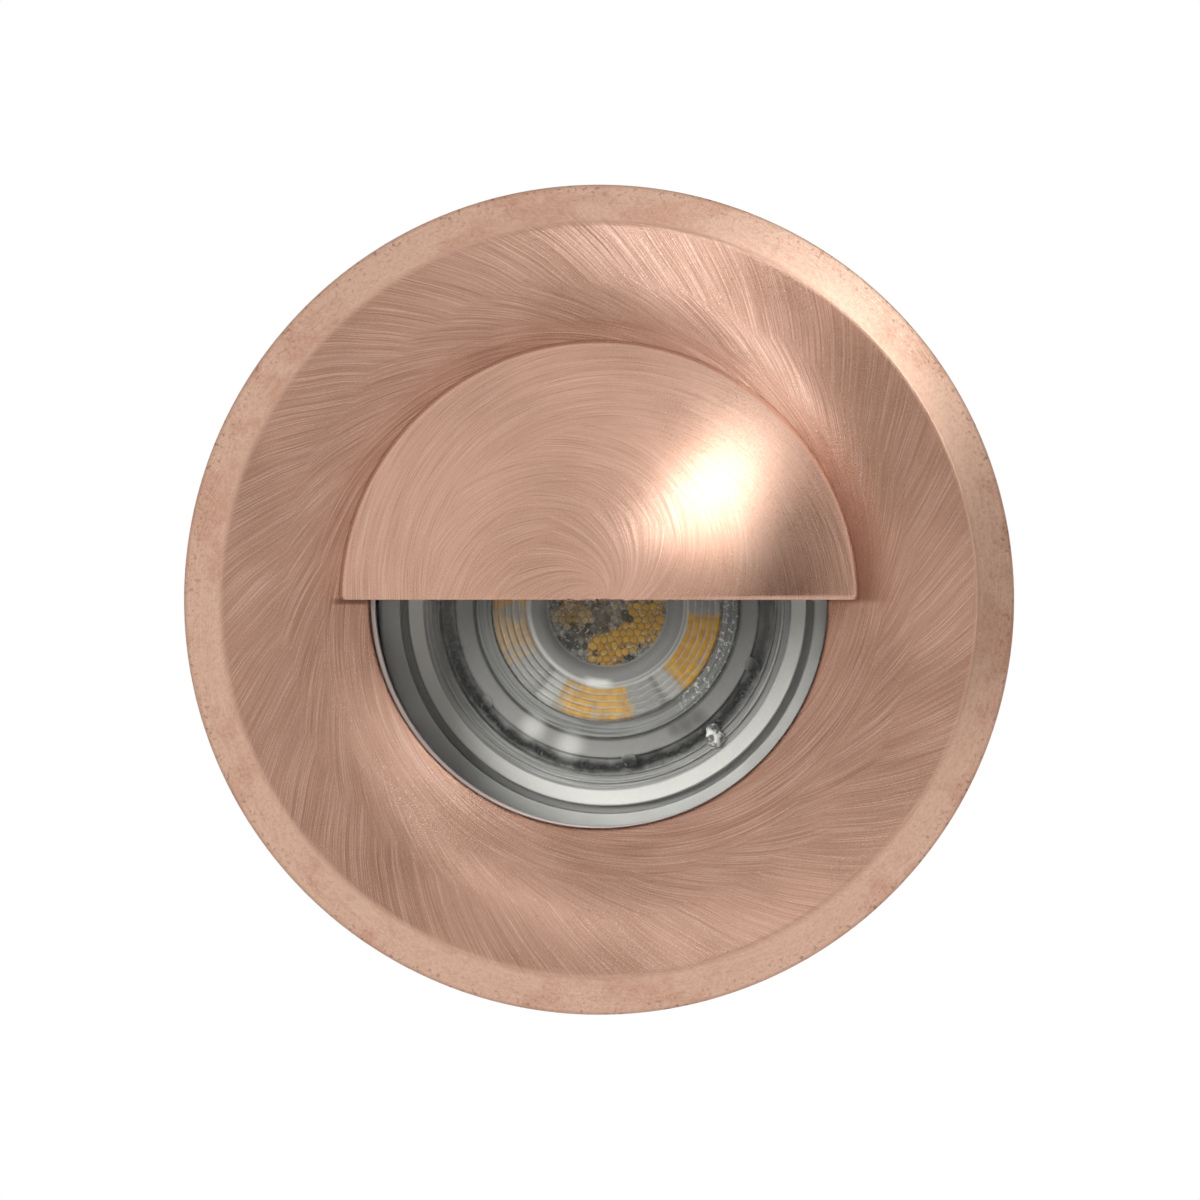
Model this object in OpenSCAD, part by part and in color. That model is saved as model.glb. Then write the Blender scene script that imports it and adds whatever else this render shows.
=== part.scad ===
// Round recessed step light with a half-dome eyelid hood over a glazed opening.
// The wall plane is y = 0. The face stands in front of it at negative y, the body runs back into
// the wall at positive y, and +Z is up. All that is turned on a lathe shares the Y axis.

/* [Face] */
// How far the lamp's front rim reaches past the opening all round
opening_lap = 0.4; // [0.3:0.1:0.6]
// Thickness of the copper at the crease, above the pocket in its back
face_t = 2.7; // [2.2:0.1:3.5]
// Rise of the shallow cone from the crease to the opening
cone_rise = 0.4; // [0.2:0.1:1]
// Width of the bevel at the rim
bevel_w = 4.1; // [3.6:0.1:4.6]
// Height of the rim's upright edge
rim_h = 2; // [1.6:0.1:2.4]
// How far the rim reaches past the pocket in its back
rim_wall = 3; // [2.4:0.1:4]
// Thickness of the lip in front of the glass
lip_t = 2.6; // [2.2:0.1:3]
// Rounding of the lip's front edge
lip_round = 0.6; // [0.3:0.1:1]
// Wall of the threaded spigot behind the face
spigot_wall = 1.9; // [1.6:0.1:2.6]
// Length of the spigot behind the glass ring
spigot_tail = 3.2; // [2:0.1:4]
// Turns of thread that hold the face
thread_turns = 3; // [2:1:4]
// Pitch of the face's thread
thread_pitch = 1.5; // [1:0.25:2]

/* [Hood] */
// Wall of the hood at its foot
hood_wall = 3; // [2:0.1:3.6]
// How far the hood stands out from the face
hood_reach = 17; // [12:0.5:22]
// Wall of the hood at its crown
hood_crown_t = 2; // [1.5:0.1:3]
// Step from the opening's edge to the inside of the hood
hood_step = 0.4; // [0.2:0.1:1]

/* [Glass] */
// Thickness of the glass
glass_t = 3; // [2.5:0.1:4]
// How far the glass reaches past the opening all round
glass_lap = 2; // [1.6:0.1:3]
// Wall of the gasket round the glass
gasket_wall = 0.8; // [0.6:0.1:1.2]
// Thickness of each gasket lip
gasket_lip_t = 0.8; // [0.6:0.1:1.2]
// Thickness of the ring that holds the glass
ring_t = 3; // [2:0.1:4]

/* [Body] */
// Wall of the barrel round the spigot
barrel_wall = 2.5; // [2.2:0.1:3.5]
// Wall of the barrel behind the spigot
tube_wall = 3; // [2.8:0.1:3.5]
// Step from the barrel to the collar that centres it in the cut-out
collar_step = 5.5; // [5.5:0.1:7]
// Length of the collar behind the wall plane
collar_l = 5; // [3:0.5:8]
// How far the flange laps over the wall
flange_lap = 4; // [3:0.25:6]
// Thickness of the flange
flange_t = 1.2; // [1:0.1:1.6]
// Thickness of the wall gasket
wall_gasket_t = 1; // [0.8:0.1:1.4]
// Width of each cooling groove
groove_w = 1.6; // [1.2:0.1:2]
// Depth of each cooling groove
groove_depth = 1; // [0.6:0.1:1.2]
// Spacing of the cooling grooves
groove_pitch = 3.5; // [3:0.1:4.5]

/* [Wings] */
// Length of each wing from its pin to its tip
wing_l = 37; // [34:1:38]
// Width of each wing
wing_w = 10.8; // [10:0.2:12]
// Angle at which the wings stand out
wing_rest_angle = 12; // [10:0.5:13]
// Distance of the wing pins behind the wall plane
wing_y = 48; // [46:1:50]
// Diameter of each wing pin
wing_pin_d = 2.5; // [2:0.1:2.5]
// Thickness of the bracket sheet and the wing strip
strip_t = 0.8; // [0.6:0.1:0.8]
// Diameter of the spring wire
spring_wire_d = 0.7; // [0.5:0.05:0.7]
// Full turns of each spring
spring_turns = 4; // [3:1:4]

/* [Lamp] */
// Diameter of the lamp's front rim
lamp_d = 50; // [49:0.1:50.5]
// Length of the lamp from its front to its base
lamp_l = 45; // [44:0.5:47]
// Width of the lamp's front rim round the lens
bezel_rim = 2.4; // [2:0.1:3]
// Length of the finned body
lamp_body_l = 33; // [30:0.5:36]
// Number of cooling fins on the lamp
fin_count = 16; // [12:1:20]
// Width of each slot between fins
fin_slot_w = 2; // [1.5:0.1:2.5]
// Spacing of the lamp's two pins
pin_pitch = 5.33; // [5.33:0.01:5.4]
// Diameter of each lamp pin
pin_d = 1.5; // [1.4:0.05:1.6]
// Length of each lamp pin
pin_l = 7; // [6:0.1:7.5]
// How far the lamp sits to the right of the light's axis
lamp_x = 0.9; // [0:0.1:1]
// How far the lamp sits above the light's axis
lamp_z = -0.75; // [-1:0.05:0]

/* [Rear] */
// Length of the terminal block, which sets the room behind the lamp holder
block_l = 11; // [11:0.5:14]
// Thickness of the rear cap
cap_t = 3; // [2.6:0.1:4]
// Depth of the plug on the rear cap
cap_plug_l = 3.3; // [2.5:0.1:4]
// Thickness of the cap's seal
cap_seal_t = 0.8; // [0.6:0.1:1.2]
// Diameter of the gland's thread
gland_d = 12; // [11:0.5:13]
// Width across the flats of the gland's hexagons
gland_flats = 15; // [15:0.5:17]
// Diameter of the cable that the gland takes
cable_d = 6.5; // [5.5:0.1:6.8]
// Turns of thread that hold the gland nut
gland_turns = 2; // [1:1:3]
// Pitch of the gland nut's thread
gland_pitch = 1.5; // [1:0.25:1.75]

/* [Hidden] */

$fn = 72;
// Overrun of every cut past the face that it opens
over = 1;
// Gap between pieces of one body that fit in each other
fit = 0.05;
// Gap between flat faces of pieces that move apart
seat_gap = 0.1;
// Radial gap between a thread and its nut
thread_gap = 0.1;
// Radial gap round the O-ring in the barrel's mouth
oring_gap = 0.1;

// Face, from the opening outwards
lamp_r = lamp_d / 2;
opening_r = lamp_r - opening_lap;
glass_r = opening_r + glass_lap;
gasket_r = glass_r + gasket_wall;
spigot_bore_r = gasket_r + 2 * fit;
spigot_r = spigot_bore_r + spigot_wall;
barrel_thread_r = spigot_r + thread_gap;
barrel_r = barrel_thread_r + barrel_wall;
bore_r = barrel_r - tube_wall;
collar_r = barrel_r + collar_step;
flange_r = collar_r + flange_lap;
pocket_gap = 0.5;
pocket_r = flange_r + pocket_gap;
face_r = pocket_r + rim_wall;
crease_r = face_r - bevel_w;
hood_in_r = opening_r + hood_step;
hood_r = hood_in_r + hood_wall;
land_margin = 0.6;
land_r = hood_r + land_margin;
crease_soft = 1;
edge_break = 0.4;

// Face, from the wall plane forwards and then back through the glass
rim_lift = 0.2;
flange_back = -wall_gasket_t;
flange_front = flange_back - flange_t;
face_back = flange_front - seat_gap;
crease_y = face_back - face_t;
lip_y = crease_y - cone_rise;
rim_y = -rim_lift - rim_h;
gasket_y = lip_y + lip_t;
glass_y = gasket_y + gasket_lip_t;
glass_back = glass_y + glass_t;
ring_y = glass_back + gasket_lip_t;
ring_back = ring_y + ring_t;
spigot_end = ring_back + spigot_tail;
thread_l = thread_turns * thread_pitch;
thread_y = spigot_end - thread_l;
gasket_step = 0.3;
gasket_in_r = opening_r + gasket_step;
ring_in_r = gasket_in_r + seat_gap;
notch_w = 2.5;
notch_depth = 1.2;

// Mouth of the barrel and its O-ring
oring_wire_d = 1.6;
oring_c_r = spigot_r + oring_gap + oring_wire_d / 2;
mouth_r = oring_c_r + oring_wire_d / 2 + oring_gap;
mouth_depth = oring_wire_d + oring_gap;
oring_y = face_back + oring_wire_d / 2 + oring_gap / 2;
relief_step = 0.3;
relief_r = barrel_thread_r + relief_step;
thread_run_out = 1;

// Barrel outside
collar_taper = 4;
groove_front_y = 12;
groove_front_count = 7;
groove_rear_count = 4;
groove_rear_margin = 3.5;

// Wings: the pin is the hinge, and the sheet bracket stands on a flat of the barrel
flat_depth = 0.8;
flat_x = barrel_r - flat_depth;
bracket_front = 7;
bracket_rear = 10;
bracket_margin = 0.4;
ear_t = strip_t;
ear_r = 2.4;
ear_gap = 0.4;
bracket_w = wing_w + 2 * (ear_gap + ear_t + bracket_margin);
pin_rise = 2.6;
wing_pin_x = flat_x + strip_t + pin_rise;
pin_run = 0.05;
pin_head_r = 1.9;
pin_head_t = 0.6;
cheek_r = 2.3;
cheek_drop = 1;
web_rise = 0.9;
web_start = 8;
cheek_l = 14;
sleeve_l = 10;
sleeve_wall = 0.5;
wing_screw_r = 1.25;
wing_screw_l = 2;
wing_head_r = 2.2;
wing_head_h = 1.2;
wing_screw_y = 6.5;
wing_screw_z = 3.5;
coil_r = 1.95;
spring_steps = 8;
spring_sides = 6;
coil_half_l = 2.6;
leg_a_l = 16;
leg_b_l = 6;
leg_seat = 0.05;
leg_drop_l = 7;

// Lamp, measured back from its front
lamp_gap = 0.8;
lamp_y = ring_back + lamp_gap;
lens_r = lamp_r - bezel_rim;
bezel_floor = 1;
bezel_shelf = 1;
bezel_skirt = 0.6;
lens_flange_t = 1.8;
lens_drop = 0.6;
bezel_h = lens_drop + lens_flange_t + bezel_floor + bezel_skirt;
ridge_in_r = 8.6;
ridge_out_r = 12.6;
ridge_count = 5;
ridge_h = 0.5;
comb_r = 6.4;
comb_drop = 1.2;
lens_back = 8.2;
lens_waist_r = 13.6;
lens_tail_r = 12.8;
board_y = 9;
board_t = 1.2;
board_r = 16.6;
cup_floor_r = 18.3;
chip_t = 0.5;
chip_centre_r = 5.2;
chip_ring_in_r = 8.9;
chip_ring_out_r = 12.5;
chip_arc = 43;
chip_arc_count = 5;
chip_arc_start = 4;
cup_wall = 1.2;
cup_r = lamp_r - cup_wall;
cup_mouth_r = lens_r - bezel_shelf;
cup_taper = 1.4;
cup_floor_t = 1.4;
body_tail_r = 11;
body_taper_y = 6.4;
fin_slot_depth = 4;
base_w = 19.5;
base_h = 11.6;
pin_tip_l = 0.8;
pin_tip_r = 0.45;
pin_root_l = 3;

// Lamp holder and its bracket
holder_gap = 0.4;
holder_l = 10;
holder_y = lamp_y + lamp_l + holder_gap;
holder_back = holder_y + holder_l;
holder_w = 22;
holder_h = 13;
pin_fit = 0.08;
contact_wall = 0.5;
contact_l = 8;
contact_tail_l = 3;
contact_tail_r = 0.9;
holder_screw_x = 7.8;
screw_r = 1.5;
screw_gap = 0.1;
screw_head_r = 2.75;
screw_head_h = 1.7;
socket_r = 1.3;
socket_depth = 1;
bracket_t = 1;
bracket_h = 11;
leg_x = 16;
foot_l = 7;
bracket_slot_w = 10;
bracket_slot_h = 4;
foot_screw_l = 2.6;

// Rear cap, cap screws and terminal block: the leads' bend sets how far back the cap stands
lead_r = 0.9;
lead_bend_r = 3;
lead_run = 0.2;
lead_y = holder_back + contact_tail_l + lead_run + lead_bend_r;
cap_inner = lead_y + block_l / 2;
barrel_end = cap_inner + cap_plug_l;
cap_y = barrel_end + cap_seal_t;
cap_back = cap_y + cap_t;
groove_rear_y = barrel_end - groove_rear_margin - groove_rear_count * groove_pitch + groove_w;
cap_plug_gap = 0.1;
cap_chamfer = 0.8;
boss_r = 3.4;
boss_sink = 0.6;
boss_c_r = bore_r - boss_r + boss_sink;
boss_l = 15;
cap_screw_count = 3;
cap_screw_l = 10;
cap_head_sink = 1.7;
block_w = 18;
block_h = 11;
block_top_z = -10.2;
block_wire_r = 1.6;
block_wire_depth = 4;
block_screw_r = 1.5;
block_screw_l = 2;

// Gland, measured back from the cap
gland_r = gland_d / 2;
gland_hex_r = gland_flats / 2 / cos(30);
gland_thread_gap = 0.1;
washer_t = 1.2;
washer_lap = 1.8;
gland_y = cap_back + washer_t;
gland_hex_t = 5;
gland_stub_l = 6.5;
gland_nut_wall = 1.1;
gland_stub_r = gland_flats / 2 - gland_nut_wall;
gland_inner_l = 3.6;
locknut_t = 3;
locknut_extra = 1;
gland_nut_gap = 0.4;
nut_y = gland_y + gland_hex_t + gland_nut_gap;
nut_hex_t = 6.5;
nut_dome_t = 3.5;
nut_dome_r = 5.4;
cable_slack = 0.55;
nut_mouth_r = cable_d / 2 + cable_slack;
seal_wall = 1.6;
seal_lead = 1;
seal_r = cable_d / 2 + seal_wall;
seal_in_r = cable_d / 2;
seal_y = gland_y + gland_hex_t - seal_lead;
seal_l = gland_stub_l + seal_lead;

copper = "#c98f74";
alu = "#b9bcbe";
dark_alu = "#6d7073";
steel = "#c5c8ca";
rubber = "#2a2a2b";
silicone = "#d8dad6";

// Points on an arc in a plane of radius and depth
function arc(cx, cy, r, a0, a1, n) =
    [for (i = [0:n]) let (a = a0 + (a1 - a0) * i / n) [cx + r * cos(a), cy + r * sin(a)]];

// Points on a quarter ellipse from its foot to its crown, in front of the face
function quarter(foot_r, reach, n) =
    [for (i = [0:n]) let (a = 90 * i / n) [foot_r * cos(a), lip_y - reach * sin(a)]];

// A turned piece: points are pairs of radius and depth
module turned(points) {
    rotate([-90, 0, 0])
        rotate_extrude()
            polygon(points);
}

// A rod along Y
module rod(y, l, r, r_end = undef) {
    translate([0, y, 0])
        rotate([-90, 0, 0])
            cylinder(h = l, r1 = r, r2 = is_undef(r_end) ? r : r_end);
}

// A flat ring along Y
module ring(y, l, r_in, r_out) {
    difference() {
        rod(y, l, r_out);
        rod(y - over, l + 2 * over, r_in);
    }
}

// A hexagonal block along Y with flats above and below
module hex_rod(y, l, r) {
    translate([0, y, 0])
        rotate([-90, 0, 0])
            cylinder(h = l, r = r, $fn = 6);
}

// A block centred on X and Z that starts at depth y
module block(w, y, l, h) {
    translate([-w / 2, y, -h / 2])
        cube([w, l, h]);
}

// A socket-head screw along Y whose head's underside is at depth y; side 1 points its shank back
module screw(y, shank_l, side) {
    translate([0, y, 0])
        scale([1, side, 1])
            difference() {
                union() {
                    rod(-screw_head_h, screw_head_h, screw_head_r);
                    rod(-screw_head_h / 2, shank_l + screw_head_h / 2, screw_r);
                }
                hex_rod(-screw_head_h - over, socket_depth + over, socket_r);
            }
}

module at_boss() {
    for (i = [0:cap_screw_count - 1])
        rotate([0, i * 360 / cap_screw_count, 0])
            translate([0, 0, boss_c_r])
                children();
}

module on_lamp_axis() {
    translate([lamp_x, 0, lamp_z])
        children();
}

module face_plate() {
    cone_y = crease_y - cone_rise * crease_soft / (crease_r - land_r);
    bevel_y = crease_y + (rim_y - crease_y) * crease_soft / bevel_w;
    color(copper)
        turned(concat(
            arc(opening_r + lip_round, lip_y + lip_round, lip_round, 180, 270, 6),
            [
                [land_r, lip_y],
                [crease_r - crease_soft, cone_y],
                [crease_r + crease_soft, bevel_y],
                [face_r, rim_y],
                [face_r, -rim_lift],
                [pocket_r, -rim_lift],
                [pocket_r, face_back],
                [spigot_r, face_back],
                [spigot_r, spigot_end - edge_break],
                [spigot_r - edge_break, spigot_end],
                [spigot_bore_r, spigot_end],
                [spigot_bore_r, gasket_y],
                [opening_r, gasket_y]
            ]
        ));
}

module eyelid_hood() {
    outside = quarter(hood_r, hood_reach, 24);
    inside = quarter(hood_in_r, hood_reach - hood_crown_t, 24);
    color(copper)
        rotate([-90, 0, 0])
            rotate([0, 0, 180])
                rotate_extrude(angle = 180)
                    polygon(concat(outside, [for (i = [len(inside) - 1:-1:0]) inside[i]]));
}

module glass_ring() {
    color(alu)
        difference() {
            ring(ring_y, ring_t, ring_in_r, gasket_r);
            for (side = [0, 180])
                rotate([0, side, 0])
                    translate([ring_in_r - over, ring_back - notch_depth, -notch_w / 2])
                        cube([gasket_r - ring_in_r + 2 * over, notch_depth + over, notch_w]);
        }
}

module front_glass() {
    color("#d7e4e0", 0.4)
        turned([
            [0, glass_y],
            [glass_r - edge_break, glass_y],
            [glass_r, glass_y + edge_break],
            [glass_r, glass_back - edge_break],
            [glass_r - edge_break, glass_back],
            [0, glass_back]
        ]);
}

module glass_gasket() {
    color(silicone)
        difference() {
            ring(gasket_y, glass_t + 2 * gasket_lip_t, gasket_in_r, gasket_r);
            rod(glass_y, glass_t, glass_r + fit);
        }
}

module face_oring() {
    color(rubber)
        translate([0, oring_y, 0])
            rotate([-90, 0, 0])
                rotate_extrude()
                    translate([oring_c_r, 0])
                        circle(r = oring_wire_d / 2);
}

module barrel_shell() {
    turned([
        [mouth_r, flange_front],
        [flange_r - edge_break, flange_front],
        [flange_r, flange_front + edge_break],
        [flange_r, flange_back],
        [collar_r, flange_back],
        [collar_r, collar_l],
        [barrel_r, collar_l + collar_taper],
        [barrel_r, barrel_end],
        [bore_r, barrel_end],
        [bore_r, spigot_end + thread_run_out],
        [barrel_thread_r, spigot_end + thread_run_out],
        [barrel_thread_r, thread_y],
        [relief_r, thread_y],
        [relief_r, flange_front + mouth_depth],
        [mouth_r, flange_front + mouth_depth]
    ]);
}

module cooling_grooves(start_y, count) {
    for (i = [0:count - 1])
        ring(start_y + i * groove_pitch, groove_w, barrel_r - groove_depth, barrel_r + over);
}

module barrel() {
    color(dark_alu)
        difference() {
            union() {
                barrel_shell();
                at_boss()
                    rod(cap_inner - boss_l, boss_l, boss_r);
            }
            cooling_grooves(groove_front_y, groove_front_count);
            cooling_grooves(groove_rear_y, groove_rear_count);
            for (side = [-1, 1])
                scale([side, 1, 1]) {
                    translate([flat_x, wing_y - bracket_front, -bracket_w / 2])
                        cube([flat_depth + over, bracket_front + bracket_rear, bracket_w]);
                    at_wing_screws()
                        cylinder(h = wing_screw_l + fit, r = wing_screw_r + fit);
                }
            at_boss()
                rod(cap_inner - cap_screw_l, cap_screw_l + over, screw_r + screw_gap);
        }
}

// Places of the two bracket screws, with +Z of the child pointing into the barrel
module at_wing_screws() {
    for (side = [-1, 1])
        translate([flat_x, wing_y + wing_screw_y, side * wing_screw_z])
            rotate([0, -90, 0])
                children();
}

module wall_gasket() {
    color(rubber)
        ring(flange_back, wall_gasket_t, collar_r + seat_gap, flange_r);
}

module rear_cap() {
    color(dark_alu)
        difference() {
            union() {
                turned([
                    [0, cap_y],
                    [barrel_r, cap_y],
                    [barrel_r, cap_back - cap_chamfer],
                    [barrel_r - cap_chamfer, cap_back],
                    [0, cap_back]
                ]);
                rod(cap_inner, cap_y - cap_inner + cap_t / 2, bore_r - cap_plug_gap);
            }
            at_boss() {
                rod(cap_inner - over, cap_back - cap_inner + 2 * over, screw_r + screw_gap);
                rod(cap_back - cap_head_sink, cap_head_sink + over, screw_head_r + screw_gap);
            }
            rod(cap_inner - over, cap_back - cap_inner + 2 * over, gland_r + gland_thread_gap);
            on_lamp_axis()
                at_feet()
                    rod(-over, foot_screw_l + over, screw_r + screw_gap);
        }
}

module cap_seal() {
    color(rubber)
        ring(barrel_end, cap_seal_t, bore_r, barrel_r);
}

module cap_screws() {
    color(steel)
        at_boss()
            screw(cap_back - cap_head_sink, cap_back - cap_head_sink - cap_inner + cap_screw_l - over, -1);
}

module lamp_bezel() {
    color(alu)
        on_lamp_axis()
            turned([
                [lens_r + fit, lamp_y],
                [lamp_r - edge_break, lamp_y],
                [lamp_r, lamp_y + edge_break],
                [lamp_r, lamp_y + bezel_h],
                [cup_r - fit, lamp_y + bezel_h],
                [cup_r - fit, lamp_y + bezel_h - bezel_skirt],
                [cup_mouth_r, lamp_y + bezel_h - bezel_skirt],
                [cup_mouth_r, lamp_y + lens_drop + lens_flange_t],
                [lens_r + fit, lamp_y + lens_drop + lens_flange_t]
            ]);
}

// Front of the lens: a flat flange, a band of saw-tooth ridges and a sunk honeycomb centre
function lens_front() = let (step = (ridge_out_r - ridge_in_r) / ridge_count) concat(
    [[0, comb_drop], [comb_r, comb_drop], [comb_r + comb_drop, 0]],
    [for (i = [0:ridge_count - 1], tooth = [0, 1])
        [ridge_in_r + (i + tooth * (1 - fit)) * step, tooth * ridge_h]],
    [[ridge_out_r + fit * step, 0], [lens_r, 0]]
);

module lamp_lens() {
    front = lamp_y + lens_drop;
    color("#dfe3e0", 0.5)
        on_lamp_axis()
            turned(concat(
                [for (p = lens_front()) [p[0], front + p[1]]],
                [
                    [lens_r, front + lens_flange_t],
                    [lens_waist_r, front + lens_flange_t],
                    [lens_tail_r, lamp_y + lens_back],
                    [chip_centre_r, lamp_y + lens_back],
                    [0, lamp_y + lens_back]
                ]
            ));
}

module lamp_body() {
    cup_floor = lamp_y + board_y + board_t;
    color(alu)
        on_lamp_axis()
            difference() {
                turned([
                    [cup_r, lamp_y + bezel_h],
                    [lamp_r, lamp_y + bezel_h],
                    [lamp_r - cup_taper, lamp_y + body_taper_y],
                    [body_tail_r, lamp_y + lamp_body_l],
                    [0, lamp_y + lamp_body_l],
                    [0, cup_floor],
                    [cup_floor_r, cup_floor],
                    [cup_mouth_r, lamp_y + bezel_h]
                ]);
                for (i = [0:fin_count - 1])
                    rotate([0, i * 360 / fin_count, 0])
                        fin_slot();
            }
}

// One slot between two fins, along the taper of the lamp's body
module fin_slot() {
    run = lamp_body_l - body_taper_y;
    lean = atan((lamp_r - cup_taper - body_tail_r) / run);
    floor_y = board_y + board_t + cup_floor_t;
    start = (floor_y - body_taper_y + fin_slot_depth * sin(lean)) / cos(lean);
    translate([lamp_r - cup_taper, lamp_y + body_taper_y, 0])
        rotate([0, 0, lean])
            translate([-fin_slot_depth, start, -fin_slot_w / 2])
                cube([2 * fin_slot_depth, run / cos(lean) - start + over, fin_slot_w]);
}

module led_board() {
    color("#e9ebe6")
        on_lamp_axis()
            rod(lamp_y + board_y, board_t, board_r);
}

module led_chips() {
    chip_y = lamp_y + board_y - chip_t;
    color("#e0a040")
        on_lamp_axis() {
            rod(chip_y, chip_t, chip_centre_r);
            for (i = [0:chip_arc_count - 1])
                translate([0, chip_y, 0])
                    rotate([-90, 0, 0])
                        rotate([0, 0, chip_arc_start + i * 360 / chip_arc_count])
                            rotate_extrude(angle = chip_arc)
                                translate([chip_ring_in_r, 0])
                                    square([chip_ring_out_r - chip_ring_in_r, chip_t]);
        }
}

module lamp_base() {
    base_y = lamp_y + lamp_body_l;
    color("#e6e6e0")
        on_lamp_axis()
            difference() {
                union() {
                    block(base_w - base_h, base_y, lamp_l - lamp_body_l, base_h);
                    for (side = [-1, 1])
                        translate([side * (base_w - base_h) / 2, 0, 0])
                            rod(base_y, lamp_l - lamp_body_l, base_h / 2);
                }
                at_pins()
                    rod(lamp_y + lamp_l - pin_root_l, pin_root_l + over, pin_d / 2 + fit);
            }
}

module at_pins() {
    for (side = [-1, 1])
        translate([side * pin_pitch / 2, 0, 0])
            children();
}

module lamp_pins() {
    pin_y = lamp_y + lamp_l - pin_root_l;
    color(steel)
        on_lamp_axis()
            at_pins() {
                rod(pin_y, pin_root_l + pin_l - pin_tip_l, pin_d / 2);
                rod(pin_y + pin_root_l + pin_l - pin_tip_l, pin_tip_l, pin_d / 2, pin_tip_r);
            }
}

module at_holder_screws() {
    for (side = [-1, 1])
        translate([side * holder_screw_x, 0, 0])
            children();
}

module lamp_holder() {
    contact_r = pin_d / 2 + pin_fit + contact_wall;
    color("#efece4")
        on_lamp_axis()
            difference() {
                union() {
                    block(holder_w - holder_h, holder_y, holder_l, holder_h);
                    for (side = [-1, 1])
                        translate([side * (holder_w - holder_h) / 2, 0, 0])
                            rod(holder_y, holder_l, holder_h / 2);
                }
                at_pins() {
                    rod(holder_y - over, holder_l + 2 * over, contact_r + fit);
                }
                at_holder_screws() {
                    rod(holder_y - over, holder_l + 2 * over, screw_r + screw_gap);
                    rod(holder_y - over, screw_head_h + 2 * over, screw_head_r + screw_gap);
                }
            }
}

module holder_contacts() {
    contact_r = pin_d / 2 + pin_fit + contact_wall;
    color("#c9a24a")
        on_lamp_axis()
            at_pins() {
                ring(holder_back - contact_l, contact_l, pin_d / 2 + pin_fit, contact_r);
                rod(holder_back, contact_wall, contact_r);
                rod(holder_back, contact_tail_l, contact_tail_r);
            }
}

// Places where the bracket's feet are screwed to the cap, at the cap's inner face
module at_feet() {
    for (side = [-1, 1])
        translate([side * (leg_x + foot_l / 2), cap_inner, 0])
            children();
}

module holder_bracket() {
    plate_y = holder_back;
    color(steel)
        on_lamp_axis()
            difference() {
                union() {
                    block(2 * leg_x, plate_y, bracket_t, bracket_h);
                    for (side = [-1, 1])
                        scale([side, 1, 1]) {
                            translate([leg_x - bracket_t, plate_y, -bracket_h / 2])
                                cube([bracket_t, cap_inner - plate_y, bracket_h]);
                            translate([leg_x - bracket_t, cap_inner - bracket_t, -bracket_h / 2])
                                cube([foot_l + bracket_t, bracket_t, bracket_h]);
                        }
                }
                block(bracket_slot_w, plate_y - over, bracket_t + 2 * over, bracket_slot_h);
                at_holder_screws()
                    rod(plate_y - over, bracket_t + 2 * over, screw_r + screw_gap);
                at_feet()
                    rod(-bracket_t - over, bracket_t + 2 * over, screw_r + screw_gap);
            }
}

module holder_screws() {
    head_y = holder_y + over + screw_head_h;
    color(steel)
        on_lamp_axis()
            at_holder_screws()
                screw(head_y, holder_back + bracket_t + over - head_y, 1);
}

module bracket_screws() {
    color(steel)
        on_lamp_axis()
            at_feet()
                screw(-bracket_t, bracket_t + foot_screw_l - fit, 1);
}

module terminal_block() {
    color("#3a3c3e")
        translate([lamp_x, 0, block_top_z - block_h / 2])
            difference() {
                block(block_w, cap_inner - block_l, block_l, block_h);
                for (side = [-1, 1]) {
                    translate([side * pin_pitch / 2, lead_y, block_h / 2 - block_wire_depth])
                        cylinder(h = block_wire_depth + over, r = block_wire_r);
                    translate([side * block_w / 4, 0, 0])
                        rod(cap_inner - block_l - over, block_screw_l + over, block_screw_r + fit);
                }
            }
}

module terminal_screws() {
    slot_w = block_screw_r / 2;
    color(steel)
        translate([lamp_x, 0, block_top_z - block_h / 2])
            for (side = [-1, 1])
                translate([side * block_w / 4, 0, 0])
                    difference() {
                        rod(cap_inner - block_l, block_screw_l, block_screw_r);
                        block(2 * block_screw_r + over, cap_inner - block_l - over, over + slot_w, slot_w);
                    }
}

// One insulated lead: straight back from its contact, a round bend, then down into the block
module lead() {
    start_y = holder_back + contact_tail_l;
    turn_y = lead_y - lead_bend_r;
    drop = lamp_z - lead_bend_r - (block_top_z - block_wire_depth);
    rod(start_y, turn_y - start_y, lead_r);
    translate([0, turn_y, -lead_bend_r])
        rotate([0, -90, 0])
            rotate_extrude(angle = 90)
                translate([lead_bend_r, 0])
                    circle(r = lead_r);
    translate([0, turn_y + lead_bend_r, -lead_bend_r - drop])
        cylinder(h = drop, r = lead_r);
}

module holder_leads() {
    color("#b03a2e")
        on_lamp_axis()
            at_pins()
                lead();
}

module gland_body() {
    inner_r = cable_d / 2 + seal_wall + fit;
    color("#2f3133")
        difference() {
            union() {
                hex_rod(gland_y, gland_hex_t, gland_hex_r);
                rod(cap_inner - gland_inner_l, gland_y - cap_inner + gland_inner_l + over, gland_r);
                rod(gland_y, gland_hex_t + gland_stub_l, gland_stub_r);
            }
            rod(cap_inner - gland_inner_l - over, seal_y - cap_inner + gland_inner_l + 2 * over, nut_mouth_r);
            rod(seal_y, seal_l + over, inner_r);
        }
}

module gland_washer() {
    color(rubber)
        ring(cap_back, washer_t, gland_r + gland_thread_gap, gland_r + washer_lap);
}

module gland_locknut() {
    color(steel)
        difference() {
            hex_rod(cap_inner - locknut_t, locknut_t, gland_hex_r + locknut_extra);
            rod(cap_inner - locknut_t - over, locknut_t + 2 * over, gland_r + gland_thread_gap);
        }
}

module gland_seal() {
    color(rubber)
        ring(seal_y, seal_l, seal_in_r, seal_r);
}

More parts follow.
